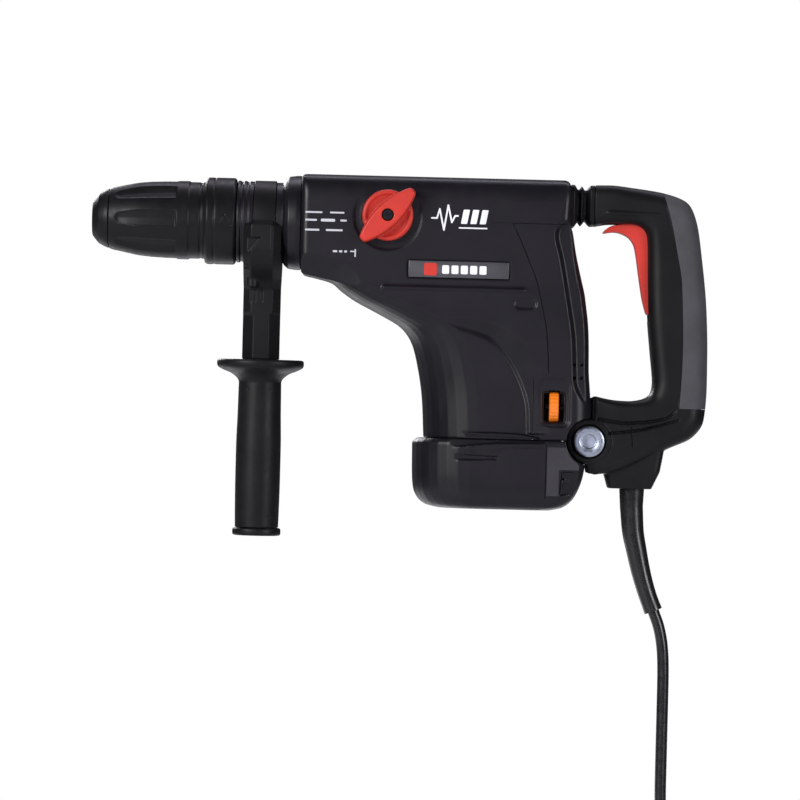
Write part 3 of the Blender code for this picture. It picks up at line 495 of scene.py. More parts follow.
# Moulded finishes lighten their edges by a set strength: partly rubbed wear, partly a painted rim highlight.
BLACK_PLASTIC = moulded("black_plastic", (0.0056, 0.0055, 0.0062), 0.44, 0.5, 0.03, specular=0.19)
DARK_PLASTIC = moulded("dark_plastic", (0.0062, 0.0056, 0.0086), 0.38, 0.45, 0.022, specular=0.29)
PANEL_GREY = moulded("panel_grey", (0.034, 0.033, 0.039), 0.44, 0.45, 0.02, specular=0.3)
RED_PLASTIC = moulded("red_plastic", (0.54, 0.034, 0.022), 0.4, 0.6, 0.012, coat=0.06, edge_wear_and_highlight=0.1, specular=0.3)
ORANGE_PLASTIC = moulded("orange_plastic", (0.76, 0.18, 0.01), 0.38, 0.5, 0.015, coat=0.1, edge_wear_and_highlight=0.15)
SOFT_GREY = rubbery("soft_grey", (0.061, 0.061, 0.068), 0.62)
BLACK_RUBBER = rubbery("black_rubber", (0.006, 0.006, 0.0068), 0.44, 0.9, 0.05)
CHUCK_RUBBER = rubbery("chuck_rubber", (0.006, 0.0058, 0.0068), 0.38, 0.7, 0.035)
LEAD_RUBBER = rubbery("lead_rubber", (0.0056, 0.0056, 0.0062), 0.27, 0.5, 0.003, 0.5)
BADGE = moulded("badge_face", (0.052, 0.052, 0.06), 0.3, 0.5, 0.004, coat=0.3, edge_wear_and_highlight=0.2)
STEEL = machined("ground_steel", (0.56, 0.58, 0.61), 0.33)
DARK_STEEL = machined("blackened_steel", (0.03, 0.03, 0.035), 0.4)
ZINC = machined("zinc_plate", (0.5, 0.56, 0.66), 0.36, (1.0, 1.0, 1.0), 1.6)
CAST = machined("cast_aluminium", (0.6, 0.6, 0.62), 0.5, (1.0, 1.0, 1.0), 1.2)
COPPER = machined("copper_bars", (0.62, 0.3, 0.13), 0.3)
BRASS = machined("pressed_brass", (0.56, 0.41, 0.16), 0.34)
MARKING = moulded("marking_ink", (0.5, 0.51, 0.55), 0.45, 0.4, 0.004, edge_wear_and_highlight=0.0)
WHITE_MARK = moulded("white_ink", (0.78, 0.79, 0.84), 0.42, 0.4, 0.004, edge_wear_and_highlight=0.0)

SLOT_FINISH = {
    "rubber_black": BLACK_RUBBER,
    "plastic_black": BLACK_PLASTIC,
    "plastic_dark": DARK_PLASTIC,
    "soft_grey": SOFT_GREY,
    "plastic_red": RED_PLASTIC,
    "plastic_orange": ORANGE_PLASTIC,
    "steel": STEEL,
    "aluminium_cast": CAST,
    "copper": COPPER,
    "brass": BRASS,
    "badge_dark": BADGE,
}


def finish_cad_nodes():
    """The working parts inside keep their CAD shape, and get a real finish."""
    for part in frame["record"]["subparts"]:
        mesh = frame["nodes"][part["node"]].data
        mesh.materials.clear()
        mesh.materials.append(SLOT_FINISH[part["material_slot"]])


# ---------------------------------------------------------------- camera, lights, floor

TARGET_U = 243.0
TARGET_W = -136.0
DISTANCE = 3.467
ROLL = 0.0253


def camera():
    data = bpy.data.cameras.new("camera")
    data.lens = 200
    data.sensor_width = 36
    data.clip_end = 60
    made = bpy.data.objects.new("camera", data)
    bpy.context.scene.collection.objects.link(made)
    place = at(TARGET_U, 0, TARGET_W)
    made.location = (place.x, -DISTANCE, place.z)
    made.rotation_euler = (math.pi / 2, -ROLL, 0)
    bpy.context.scene.camera = made


def soft_light(name, place, aim, size, power, tint=(1, 1, 1)):
    data = bpy.data.lights.new(name, "AREA")
    data.shape = "RECTANGLE"
    data.size, data.size_y = size
    data.energy = power
    data.color = tint
    made = bpy.data.objects.new(name, data)
    made.location = place
    heading = Vector(aim) - Vector(place)
    made.rotation_euler = heading.to_track_quat("-Z", "Y").to_euler()
    bpy.context.scene.collection.objects.link(made)


def studio():
    """White room as the camera sees it, dim for the plastics to reflect, with soft boxes round it."""
    world = bpy.data.worlds.new("studio")
    bpy.context.scene.world = world
    world.use_nodes = True
    tree = world.node_tree
    seen = tree.nodes.new("ShaderNodeLightPath").outputs["Is Camera Ray"]
    tree.links.new(
        blended(tree, seen, (0.05, 0.05, 0.056), (1.0, 1.0, 1.0)),
        tree.nodes["Background"].inputs["Color"],
    )
    bpy.context.scene.view_settings.view_transform = "Standard"
    middle = at(TARGET_U, 0, -60)
    soft_light("key_box", (-2.2, -2.3, 0.9), middle, (1.3, 1.2), 88, (1, 0.985, 0.99))
    soft_light("fill_box", (2.4, -2.3, 0.5), middle, (1.0, 1.4), 52, (0.98, 0.97, 1))
    soft_light("near_box", (-0.25, -3.1, 0.1), middle, (1.0, 0.6), 5.2, (0.86, 0.81, 1))
    soft_light("top_box", (0.0, 0.7, 1.5), middle, (2.0, 0.5), 12, (0.9, 0.86, 1))
    soft_light("back_box", (-1.6, 2.8, 1.1), middle, (1.4, 1.0), 42, (0.97, 0.95, 1))
    soft_light("low_box", (-0.2, 0.9, -0.6), middle, (2.0, 0.3), 3)


def floor():
    """Pale round floor under the hanging lead."""
    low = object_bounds()[0].z - 0.004
    bm = bmesh.new()
    bmesh.ops.create_circle(bm, cap_ends=True, segments=96, radius=2.4)
    made = solid("floor", bm)
    made.location = (at(TARGET_U, 0, 0).x, 0.2, low)
    pale, tree, shader, place = new_material("pale_floor", (0.82, 0.82, 0.83), 0.7)
    tone = blended(tree, noise(tree, place, 300, 3), (0.8, 0.8, 0.81), (0.84, 0.84, 0.85))
    tree.links.new(tone, shader.inputs["Base Color"])
    made.data.materials.append(pale)
    made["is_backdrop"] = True


# ---------------------------------------------------------------- mains lead

CORD_RADIUS = 4.5
COIL_CENTRE = (436.0, -580.0)
COIL_RADIUS = 46.0
PLUG_U = COIL_CENTRE[0] + COIL_RADIUS
PLUG_TOP = COIL_CENTRE[1] - 48.0
CORD_ROUTE = (
    (444.72, 0, -295.8), (449.2, 0, -308), (452.1, 0, -322), (453.4, 0, -340), (453.6, 0, -370),
    (453.6, 0, -405), (453.7, 0, -438), (454.6, 0, -462), (457.0, 0, -485), (461.0, 0, -505),
    (466.5, 0, -520),
)
SLEEVE_ROUTE = (
    (425.4, -184, 7.6), (425.4, -200.78, 7.6), (425.4, -200.8, 9.75), (425.5, -214, 9.0),
    (427.1, -233, 8.5), (430.2, -248, 8.0), (433.9, -264, 7.5), (438.3, -279, 7.1), (441.4, -287.5, 7.0),
    (444.6, -295.5, 7.2),
)
PITCH = 9.25
# Cells of the coil that the lead fills in turn: (column across, layer out from the middle)
COIL_CELLS = (
    (0, 1), (1, 1), (2, 1), (2, 0), (2, -1), (1, -1), (1, 0), (0, 0), (0, -1), (-1, -1), (-2, -1), (-2, 0),
    (-1, 0), (-1, 1),
)
CELL_TURN = 335.0  # degrees in each cell, so that a turn has left its cell before the next one comes
CELL_STEP = 50.0
COIL_START = 50.0


def coil_points():
    """Centreline of the coil, clockwise as the camera would see it."""
    found = []
    last = CELL_TURN * len(COIL_CELLS) - 62
    count = int(last / 5)
    for k in range(count + 1):
        turn = last * k / count
        cell = min(int((turn + CELL_STEP / 2) // CELL_TURN), len(COIL_CELLS) - 1)
        into = (turn + CELL_STEP / 2) - cell * CELL_TURN
        share = min(into / CELL_STEP, 1.0)
        share = share * share * (3 - 2 * share)
        before = COIL_CELLS[max(cell - 1, 0)]
        after = COIL_CELLS[cell]
        column = before[0] + (after[0] - before[0]) * share
        layer = before[1] + (after[1] - before[1]) * share
        angle = math.radians(COIL_START - turn)
        radius = COIL_RADIUS + PITCH * layer
        u = COIL_CENTRE[0] + radius * math.cos(angle)
        w = COIL_CENTRE[1] + radius * math.sin(angle)
        found.append(Vector((u, PITCH * column, w)))
    return found


def lead_points():
    coil = coil_points()
    free = smooth_points([*CORD_ROUTE, coil[0], coil[2]], 4)[:-4]
    end = coil[-1]
    tail = [
        coil[-2], end, (PLUG_U + 9.6, end.y * 0.94, COIL_CENTRE[1] - 12),
        (PLUG_U + 8.0, end.y * 0.62, COIL_CENTRE[1] - 27), (PLUG_U + 3.0, end.y * 0.22, COIL_CENTRE[1] - 40),
        (PLUG_U + 0.3, 0, PLUG_TOP - 3), (PLUG_U, 0, PLUG_TOP - 8),
    ]
    return free + coil[1:-1] + smooth_points(tail, 5)[5:]


def lead():
    points = [at(*point) for point in lead_points()]
    data = bpy.data.curves.new("mains_lead", "CURVE")
    data.dimensions = "3D"
    data.bevel_depth = CORD_RADIUS * MM
    data.bevel_resolution = 4
    data.use_fill_caps = True
    spline = data.splines.new("POLY")
    spline.points.add(len(points) - 1)
    for target, point in zip(spline.points, points):
        target.co = (*point, 1)
    made = bpy.data.objects.new("mains_lead", data)
    bpy.context.scene.collection.objects.link(made)
    piece(made, "rear_handle", LEAD_RUBBER, ("power_cord", "cord_coil"))
    sleeve = strain_relief()
    plug = mains_plug()
    tie = lead_tie()


def strain_relief():
    """Tapered sleeve below its collar, that bends with the lead."""
    rows = eased(SLEEVE_ROUTE[3:], 6)
    rows = [*SLEEVE_ROUTE[:3], *eased(SLEEVE_ROUTE[2:4], 4)[1:-1], *rows]
    loops = []
    for k, (u, w, radius) in enumerate(rows):
        before = rows[max(k - 1, 0)]
        after = rows[min(k + 1, len(rows) - 1)]
        heading = Vector((after[0] - before[0], after[1] - before[1])).normalized()
        across = Vector((heading.y, -heading.x))
        loops.append([at(u + across.x * a, b, w + across.y * a) for a, b in circle(radius, 40)])
    made = solid("lead_sleeve", skin_loops(loops))
    return piece(made, "rear_handle", LEAD_RUBBER, ("strain_relief",))


def mains_plug():
    """Moulded two-pin plug with grip ribs round its body."""
    centre = (PLUG_U, 0)
    body = [
        (0, 0), (0, 5.2), (-0.6, 5.8), (-22, 8), (-28, 8.5), (-29.5, 9.6), (-31, 15.2), (-32.4, 17.2),
        (-35, 18), (-58, 18), (-62, 17.6), (-65.2, 16.6), (-66, 15.4), (-66, 0),
    ]
    made = solid("mains_plug", turned([(PLUG_TOP + w, r) for w, r in body], "w", centre, 72))
    for k in range(5):
        top = PLUG_TOP - 3.5 - 4.6 * k
        floor_radius = 6.2 + 0.45 * k
        ring = [(top, floor_radius), (top, 12), (top - 1.6, 12), (top - 1.6, floor_radius)]
        cut(made, turned(ring, "w", centre, 72, True))
    for side in (-1, 1):
        for k in range(4):
            place = (PLUG_U - 6 + 4 * k, side * 17.7)
            cut(made, rod(PLUG_TOP - 57, PLUG_TOP - 38, 0.9, "w", place, 16))
    refined(made, 0.5, 2, 0.5)
    for side in (-1, 1):
        pin = [(-85, 0), (-85, 1.2), (-84, 2.1), (-83, 2.4), (-64, 2.4), (-64, 0)]
        join(made, turned([(PLUG_TOP + w, r) for w, r in pin], "w", (PLUG_U, side * 9.5), 32))
    return piece(made, "rear_handle", BLACK_PLASTIC, ("plug",))


def lead_tie():
    """Strap round the coil's bundle, with its end folded back."""
    half = 2.5 * PITCH + 0.6
    near = COIL_RADIUS - 1.5 * PITCH - 0.6
    far = COIL_RADIUS + 1.5 * PITCH + 0.6
    loops = []
    for out in (0.0, 1.3):
        ring = slab(near - out, far + out, half + out, 6 + out, 6 + out, 8)
        loops.append([(-a, b) for a, b in ring])
    rows = [(loops[0], -8.0), (loops[1], -8.0), (loops[1], 8.0), (loops[0], 8.0)]
    shape = skin_loops(
        [[at(COIL_CENTRE[0] + a, b, COIL_CENTRE[1] + w) for a, b in ring] for ring, w in rows], closed=True
    )
    made = solid("lead_tie", shape)
    tab_u = (COIL_CENTRE[0] - far - 1.0, COIL_CENTRE[0] - near - 3)
    tab_w = (COIL_CENTRE[1] - 7.5, COIL_CENTRE[1] + 7.5)
    join(made, box(tab_u, (-half - 2.6, -half - 1.0), tab_w))
    bevelled(made, 0.4)
    return piece(made, "rear_handle", BLACK_RUBBER)


# ---------------------------------------------------------------- chuck and nose


def chuck():
    cap = [(0, 9.6), (0, 13), (0.4, 14), (5, 19.6), (9.6, 22), (12.8, 23.2), (12.8, 9.6)]
    made = solid("nose_cap", turned(softened(cap, 0.8), hollow=True))
    piece(made, "spindle", CHUCK_RUBBER, ("dust_cap",))
    lock_sleeve()
    index_ring()
    holder = [(13.1, 9.1), (13.1, 22), (112, 22), (112, 9.1)]
    made = solid("bit_holder", turned(softened(holder, 0.6), hollow=True))
    for side in (-1, 1):
        cut(made, box((55, 72.5), outward(side, 8.0, 23.0), (-3.2, 3.2)))
    piece(made, "spindle", STEEL, ("tool_holder",))


def lock_sleeve():
    """Grip sleeve pulled back to free the bit, with eight flat-bottomed flutes, one facing each side."""
    curve = eased([(13.1, 23.3), (18.9, 25), (28.2, 27.2), (37.5, 29), (51.5, 30.1), (74.9, 30.6)], 6)
    tail = [(76, 29.8), (83.6, 29.8), (84.2, 29.2), (85.4, 29.2), (86, 29.8), (96, 29.8)]
    outline = [(13.1, 22.3), *curve, *tail, (96, 22.3), (92, 22.3), (92, 27), (40, 27), (38, 22.3)]
    made = solid("grip_sleeve", turned(outline, steps=128, hollow=True))
    for k in range(8):
        cut(made, flute(math.radians(45 * k)))
    refined(made, 0.5, 2, 0.45)
    piece(made, "lock_sleeve", CHUCK_RUBBER, ("lock_sleeve",))
    spring = coil_spring("lock_spring", 24.6, 43.5, 77.5, 6)
    piece(spring, "spindle", STEEL, ("sleeve_spring",))
    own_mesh(spring)


def coil_spring(name, radius, start, end, turns, lift=0.0):
    """Coil of round wire along u, its middle lifted by w."""
    loops = []
    steps = 20
    for k in range(turns * steps + 1):
        turn = 2 * math.pi * k / steps
        along = start + (end - start) * k / (turns * steps)
        loops.append([
            at(along + b, (radius + a) * math.cos(turn), (radius + a) * math.sin(turn) + lift)
            for a, b in circle(1.2, 8)
        ])
    return solid(name, skin_loops(loops))


def flute(turn):
    """Cutter for one flute: pointed towards the nose, square towards the tool."""
    rows = [
        (16, 0.6, 25.4), (20, 3.6, 24.4), (28, 5.2, 25.9), (40, 6.2, 27.6), (52, 6.4, 28.5), (66, 6.2, 28.9),
    ]
    cos, sin = math.cos(turn), math.sin(turn)
    loops = []
    for along, half, low in eased(rows, 4):
        ring = ((-half, low + 0.5), (0, low), (half, low + 0.5), (half, 36), (-half, 36))
        loops.append([at(along, out * cos - side * sin, out * sin + side * cos) for side, out in ring])
    return skin_loops(loops)


def index_ring():
    """Ring that turns with the bit, with a pointer triangle pressed into it."""
    outline = [
        (88, 31.2), (88, 32.4), (90, 33.8), (94.6, 33.8), (95, 33.3), (95.8, 33.3), (96.2, 33.8),
        (110.5, 33.8), (112, 32.4), (112, 22.3), (106.5, 22.3), (106.5, 31.2),
    ]
    made = solid("pointer_ring", turned(softened(outline, 0.5), steps=128, hollow=True))
    for turn in (0, 90, 180, 270):
        corners = [(98, 4.4), (108.5, 4.4), (103.2, -4.2), (98, 4.4)]
        quarter = Matrix.Rotation(math.radians(turn), 3, "X")
        for start, end in zip(corners, corners[1:]):
            groove = side_plate(stroke(start, end, 0.7, 0.7), 32.9, 36)
            bmesh.ops.rotate(groove, verts=groove.verts, cent=at(0, 0, 0), matrix=quarter)
            cut(made, groove)
    refined(made, 0.45, 1, 0.5)
    piece(made, "spindle", CHUCK_RUBBER, ("index_ring",))


def nose_collar():
    outline = [
        (112.5, 25.8), (112.5, 31.2), (113.4, 31.9), (115.2, 31.9), (115.8, 31.0), (117.2, 31.0),
        (117.8, 31.8), (119.8, 31.8), (120.4, 31.0), (121.8, 31.0), (122.4, 31.6), (125.7, 31.4),
        (125.7, 29.1), (143.3, 29.1), (143.3, 31.0), (148.4, 31.0), (150, 33.4), (153, 35.9), (159, 36.7),
        (162.7, 36.7), (162.7, 25.8),
    ]
    made = solid("collar", turned(softened(outline, 0.5), steps=128, hollow=True))
    piece(made, "housing", DARK_PLASTIC, ("nose_collar",))


# ---------------------------------------------------------------- side handle

NECK_U = 133.5
FLANGE_TOP = -107.3


def side_handle():
    band = softened([(126, 29.3), (126, 32.2), (143, 32.2), (143, 29.3)], 0.6)
    made = solid("handle_band", turned(band, steps=128, hollow=True))
    piece(made, "side_handle", BLACK_PLASTIC, ("clamp_band",))
    saddle()
    side_grip()


def saddle():
    """Moulded block under the barrel, and the octagonal neck that carries the grip."""
    rows = [
        (0, 120.5, 146.5, 34.5, 8), (-2, 119.3, 147.7, 37, 7), (-6, 119, 148, 38, 6), (-22, 119, 148, 38, 6),
        (-30, 119, 148, 35.5, 6), (-36, 119, 148, 31, 6), (-41, 119, 148, 25.5, 6), (-46, 119, 148, 20, 6),
        (-51, 119.1, 147.9, 16, 6), (-54, 119.1, 147.9, 14.4, 6), (-70, 119.1, 147.9, 14.4, 6.2),
        (-74, 119.1, 147.9, 14.4, 8.4), (FLANGE_TOP + 0.3, 119.1, 147.9, 14.4, 8.4),
    ]
    loops = [
        [at(u, y, w) for u, y in octagon(front, back, half, corner)]
        for w, front, back, half, corner in eased(rows, 3)
    ]
    made = solid("handle_saddle", skin_loops(loops))
    cut(made, rod(110, 155, 32.5, steps=128), rod(-120, -20, 4.3, "w", (NECK_U, 0), 32))
    cut(made, rod(-42.4, -20, 7.9, "w", (NECK_U, 0), 48))
    for side in (-1, 1):
        # Three-cornered pocket on each cheek, then its seam, tie bar, boss and ribs
        pocket = [(121.4, -13), (133.4, -13), (121.4, -27.5)]
        cut(made, side_plate(softened(pocket, 1.2), *outward(side, 35.2, 44)))
        cut(made, box((139.2, 139.9), outward(side, 37.5, 44), (-26, -5)))
        join(made, rod(119.8, 135.5, 2.3, "u", (side * 26.4, -35.8), 24))
        join(made, rod(-51, -37, 4.6, "w", (126.2, side * 17.2), 32))
        for u in (122.2, 125.2, 128.0, 133.6):
            cut(made, side_plate(pill((u, -58), 10.5, 1.3, 90), *outward(side, 13.4, 20)))
    refined(made, 0.5, 2, 0.5)
    piece(made, "side_handle", BLACK_PLASTIC, ("clamp_saddle",), 50)


def octagon(front, back, half, corner):
    corner = min(corner, half - 0.5)
    return [
        (front, half - corner), (front + corner, half), (back - corner, half), (back, half - corner),
        (back, corner - half), (back - corner, -half), (front + corner, -half), (front, corner - half),
    ]


def side_grip():
    """Rubber grip with a hand guard; long finger pads are pressed into its sides."""
    base = FLANGE_TOP - 8.2
    rows = eased([
        (base - 9, 16.5), (-128, 16.6), (-150, 16.9), (-175, 17.5), (-200, 17.5), (-225, 17.2), (-238, 16.9),
    ], 4)
    profile = [
        (FLANGE_TOP, 0), *softened([
            (FLANGE_TOP, 10), (FLANGE_TOP, 33.9), (base + 2.6, 33.9), (base + 0.3, 30), (base - 2.6, 22.4),
            (base - 6.4, 17.6), rows[0],
        ], 2.2, closed=False), *rows[1:], (-238, 0),
    ]
    made = solid("grip_rubber", turned(profile, "w", (NECK_U, 0), 96))
    cut(made, rod(FLANGE_TOP - 32, FLANGE_TOP + 5, 4.3, "w", (NECK_U, 0), 32))
    for side in (-1, 1):
        for lean in (-1, 1):
            centre = (NECK_U + lean * 9.2, -180)
            depth = outward(side, 13.2, 14.6)
            pad = solid("pad", side_plate(pill(centre, 100, 10.5, 90), *depth))
            cut(pad, side_plate(pill(centre, 98.2, 8.7, 90), *depth))
            cut(made, shape_of(pad))
    refined(made, 0.55, 1, 0.45)
    piece(made, "side_grip", BLACK_RUBBER, ("side_grip",))
    end = -238.3
    cap = [(end, 0), (end, 18.85), (end - 6, 18.85), (end - 6, 12), (end - 5.2, 11.4), (end - 5.2, 0)]
    made = solid("grip_cap", turned(softened(cap, 2.0, closed=False), "w", (NECK_U, 0), 96))
    piece(made, "side_grip", BLACK_PLASTIC, ("end_cap",))


# ---------------------------------------------------------------- housing

HALF = 44.0
WALL = 3.5
SPLIT_W = -164.5
PIVOT = (390.0, -164.5)
KNOB = (230.0, 6.0)
# Level sections: height, front, rear, share of the half width, front rounding, rear rounding
HOUSING_ROWS = (
    (37.2, 165, 368, 0.60, 4, 4), (34.8, 163, 370.5, 0.74, 4, 4), (29.5, 163, 371.5, 0.85, 5, 5),
    (20, 163, 372, 0.905, 6, 6), (2.5, 163, 372, 0.92, 6, 8), (-4, 163, 373.5, 0.925, 6, 10),
    (-20, 163, 376.4, 0.93, 6, 12), (-39, 164, 380.9, 0.935, 8, 14), (-42.5, 175, 381.8, 0.937, 14, 14),
    (-46, 187, 382.7, 0.94, 22, 14), (-52.5, 195, 384.1, 0.95, 30, 14), (-60, 206, 385.2, 0.96, 36, 14),
    (-69.3, 224, 386.5, 0.975, 41, 14), (-80.5, 243, 387.5, 0.99, 43, 14), (-92, 251, 388, 1.0, 43, 14),
    (-110, 256, 388.4, 1.0, 43, 14), (-135, 260, 390.3, 1.0, 43, 14), (SPLIT_W, 261.8, 390.8, 1.0, 43, 14),
)
BASE_HALF = HALF + 3
BASE_WALL = 6.5  # thick enough for what is pressed into the base
BASE_ROWS = (
    (SPLIT_W - GAP, 257, 388.5, 0.985, 43, 12), (-169, 253.2, 389, 1.0, 44, 12),
    (-192, 253.6, 385.5, 1.0, 44, 12), (-203, 254.6, 381.8, 0.99, 44, 12), (-211, 258, 377, 0.95, 42, 12),
    (-216.3, 264.5, 370, 0.87, 38, 12), (-218.6, 274, 361, 0.75, 32, 12),
)
SEAM = (
    (385, 2.5), (327, 2.5), (338, -22), (346.5, -43), (354.5, -79), (357, -112), (345.5, -116), (345.5, -175),
)
# Edge where the side face steps down towards the back
SHOULDER = (
    (386, 9.5), (376, 8.4), (365.8, 5.1), (359.8, -1.2), (359.3, -9.8), (363.6, -26.6), (368.9, -55.7),
    (373.4, -82.6), (374.8, -105.7), (375.9, -121.1), (381.7, -134), (388.1, -145.4), (394, -152),
)
# Edge where the side face turns under at the chin, and the silhouette below it
CHIN = (
    ((158, -22.9), (156, -42), 10), ((163.4, -23.9), (164, -41.5), 10), ((180.1, -27), (177, -45), 10),
    ((197.9, -30.8), (189, -49), 9.5), ((204.6, -36.4), (196, -54.5), 8), ((209.9, -45.5), (202, -60), 5.5),
    ((212.5, -51), (207, -63), 3.6), ((217, -58), (213, -68), 1.6), ((223, -66), (219, -74), 0.2),
)
# Edge of the lit field below the badge; a hollow runs along its far side
FIELD = (
    (268, -76), (280, -79.6), (293, -82.8), (308.8, -88.1), (319.1, -97.1), (327.1, -107.7), (332.7, -118.3),
    (336.6, -128), (339.3, -138), (340.2, -150), (340.4, -160),
)


def level_loft(rows, half, inset=0.0):
    """Solid over level sections, drawn in by inset."""
    loops = []
    for w, front, back, share, front_round, rear_round in rows:
        rounds = [max(size - inset, 1.5) for size in (front_round, rear_round)]
        outline = slab(front + inset, back - inset, share * half - inset, *rounds, 8)
        loops.append([at(u, y, w) for u, y in outline])
    return skin_loops(loops)


def half_at(w):
    """Half width of the housing, or of the base below it, at a height."""
    rows = HOUSING_ROWS if w > SPLIT_W else BASE_ROWS
    half = HALF if w > SPLIT_W else BASE_HALF
    for first, second in zip(rows, rows[1:]):
        if second[0] <= w <= first[0]:
            share = (first[0] - w) / (first[0] - second[0])
            return half * (first[3] + (second[3] - first[3]) * share)
    return half * (rows[0][3] if w > rows[0][0] else rows[-1][3])


def slice_of(corners, side):
    """Loop from (u, depth, w) corners on one side of the tool; the depth is from the middle."""
    return [at(u, side * depth, w) for u, depth, w in corners]


def headed(path, width):
    """Points of a (u, w) path, each with the step of that width across the path."""
    points = [Vector(point) for point in path]
    for k, point in enumerate(points):
        heading = (points[min(k + 1, len(points) - 1)] - points[max(k - 1, 0)]).normalized()
        yield point, Vector((-heading.y, heading.x)) * width


def side_half(point):
    return half_at(point.y)


def trench(path, width, depth, side, surface_at=side_half, square=False):
    """Cutter along a (u, w) path: a groove in the side face, V-shaped or square."""
    loops = []
    for point, across in headed(path, width / 2):
        a, b = point - across, point + across
        surface = surface_at(point)
        edge = surface - depth if square else surface + 0.1
        corners = [(a.x, edge, a.y), (a.x, OUT, a.y), (b.x, OUT, b.y), (b.x, edge, b.y)]
        if not square:
            corners.append((point.x, surface - depth, point.y))
        loops.append(slice_of(corners, side))
    return skin_loops(loops)


def step_down(path, run, depth, far, side, grow=0.0):
    """Cutter that lowers the side face beyond a path: it drops by depth over run, then slopes on."""
    loops = []
    for point, across in headed(smooth_pairs(path, 3), run):
        surface = half_at(point.y) - grow
        start = point.x - grow
        low = point + across
        loops.append(slice_of(
            ((start, surface + 0.05, point.y), (start, OUT + 2, point.y), (far, OUT + 2, low.y),
             (far, surface - depth - 2.5, low.y), (low.x - grow, surface - depth, low.y)),
            side,
        ))
    return skin_loops(loops)


def smooth_pairs(path, steps):
    return [(point.x, point.y) for point in smooth_points([(u, w, 0) for u, w in path], steps)]


def turned_under(side, grow=0.0):
    """Cutter for the bevel under the chin, or for the wall inside it if it grows."""
    loops = []
    for (u, w), (low_u, low_w), depth in CHIN:
        near = half_at(w) + 0.05 - grow
        low = half_at(low_w) - depth - grow
        loops.append(slice_of(
            ((u + grow, near, w + grow), (u + grow, OUT, w + grow), (low_u - 6, OUT, low_w - 6),
             (low_u - grow, low, low_w - 1.5 * grow)), side,
        ))
    return skin_loops(loops)


def scoop(path, rise, reach, depth, side):
    """Cutter for a hollow along a path: steep at the path, and rising gently away from it."""
    points = smooth_pairs(path, 3)
    loops = []
    for k, (point, across) in enumerate(headed(points, 1)):
        share = math.sin(math.pi * min(1.0, (k + 0.4) / (len(points) * 0.55)) / 2)
        low, middle, far = (point + across * run for run in (rise, reach * 0.5, reach))
        surface = half_at(point.y)
        loops.append(slice_of(
            ((point.x, surface + 0.05, point.y), (point.x, OUT, point.y), (far.x, OUT, far.y),
             (far.x, surface + 0.05, far.y), (middle.x, surface - 0.62 * depth * share, middle.y),
             (low.x, surface - depth * share, low.y)), side,
        ))
    return skin_loops(loops)


def sunk(outline, side, depth, taper=0.8):
    """Cutter for a recess with sloped walls in the side face."""
    middle = sum((Vector(point) for point in outline), Vector((0, 0))) / len(outline)
    loops = []
    for grow, height in ((0, 20), (0, 0.1), (taper, -depth)):
        loop = []
        for point in outline:
            inward = (middle - Vector(point)).normalized() * grow
            u, w = Vector(point) + inward
            loop.append(at(u, side * (half_at(w) + height), w))
        loops.append(loop)
    return skin_loops(loops)


def side_bead(rows, side, depth):
    """Raised round bead along (u, w, radius) rows, its middle at a depth from the tool's middle."""
    return skin_loops([
        [at(u, side * (depth + a), w + b) for a, b in circle(radius, 12)] for u, w, radius in rows
    ])


def rounded_box(centre, width, height, corner):
    """Outline of a rounded rectangle round a (u, w) centre."""
    outline = slab(-width / 2, width / 2, height / 2, corner, corner, 6)
    return [(centre[0] + a, centre[1] + b) for a, b in outline]


def housing_blank():
    """Whole outer form of the housing with what is moulded into its side faces, before it is split."""
    made = solid("housing_blank", level_loft(eased(HOUSING_ROWS, 4), HALF))
    for side in (-1, 1):
        cut(made, turned_under(side), step_down(SHOULDER, 3.6, 4.2, 420, side))
        cut(made, scoop(FIELD, 3.4, 19, 2.3, side))
        bead = [(226, -49.3, 0.3), (228, -49.3, 1.7), (336, -49.3, 1.7), (338, -49.3, 0.3)]
        join(made, side_bead(bead, side, half_at(-49.3) - 0.1))
        cut(made, sunk(pill((338, -59.4), 18, 9.0), side, 1.1))
        waist = [(258, -158.6), (300, -159), (336, -159.6), (352, -162.6), (352, -170), (258, -170)]
        cut(made, sunk(softened(waist, 1.0), side, 2.4, 0.8))
        # Strips pressed into the slope above the shoulder
        cut(made, trench([(304, 31.0), (369, 31.0)], 1.2, 0.7, side))
        cut(made, trench([(176, 29.2), (300, 29.2)], 1.0, 0.6, side))
    # Only the left side has the mode knob, the badge and the speed dial
    ring = [(-60, 27.0), (-41.0, 27.0), (-39.8, 26.2), (-39.8, 21.0), (-60, 21.0)]
    cut(made, turned(ring, "y", KNOB, 96, True), rod(-60, -40.2, 21.2, "y", KNOB, 96))
    cut(made, sunk(rounded_box((361.7, -135.3), 26, 38.5, 6), -1, 1.3, 1.4))
    cut(made, sunk(rounded_box((361.8, -138.8), 19, 25.4, 2.6), -1, 3.6, 1.0))
    cut(made, sunk(rounded_box((285.75, -34.55), 79.4, 14.6, 1.6), -1, 0.7, 0.3))
    refined(made, 0.75, 3, 0.36)
    for side in (-1, 1):
        cut(made, trench(smooth_pairs(SEAM[1:6], 4), 0.8, 1.0, side, square=True))
        cut(made, trench([(358, 2.5), (312, 2.5)], 0.6, 0.9, side, square=True))
        for u in (377.0, 382.5):
            for w in (-105.6, -115.7):
                cut(made, rod(*outward(side, 34.5, OUT), 1.3, "y", (u, w), 20))
    return made


def rear_region(gap):
    """Prism behind the seam, for the rear cover; its edge lies gap behind the seam."""
    path = [(u + gap, w - (gap if k < 2 else 0)) for k, (u, w) in enumerate(SEAM)]
    return side_plate([(400, path[0][1]), *path[1:], (400, -175)], -70, 70)


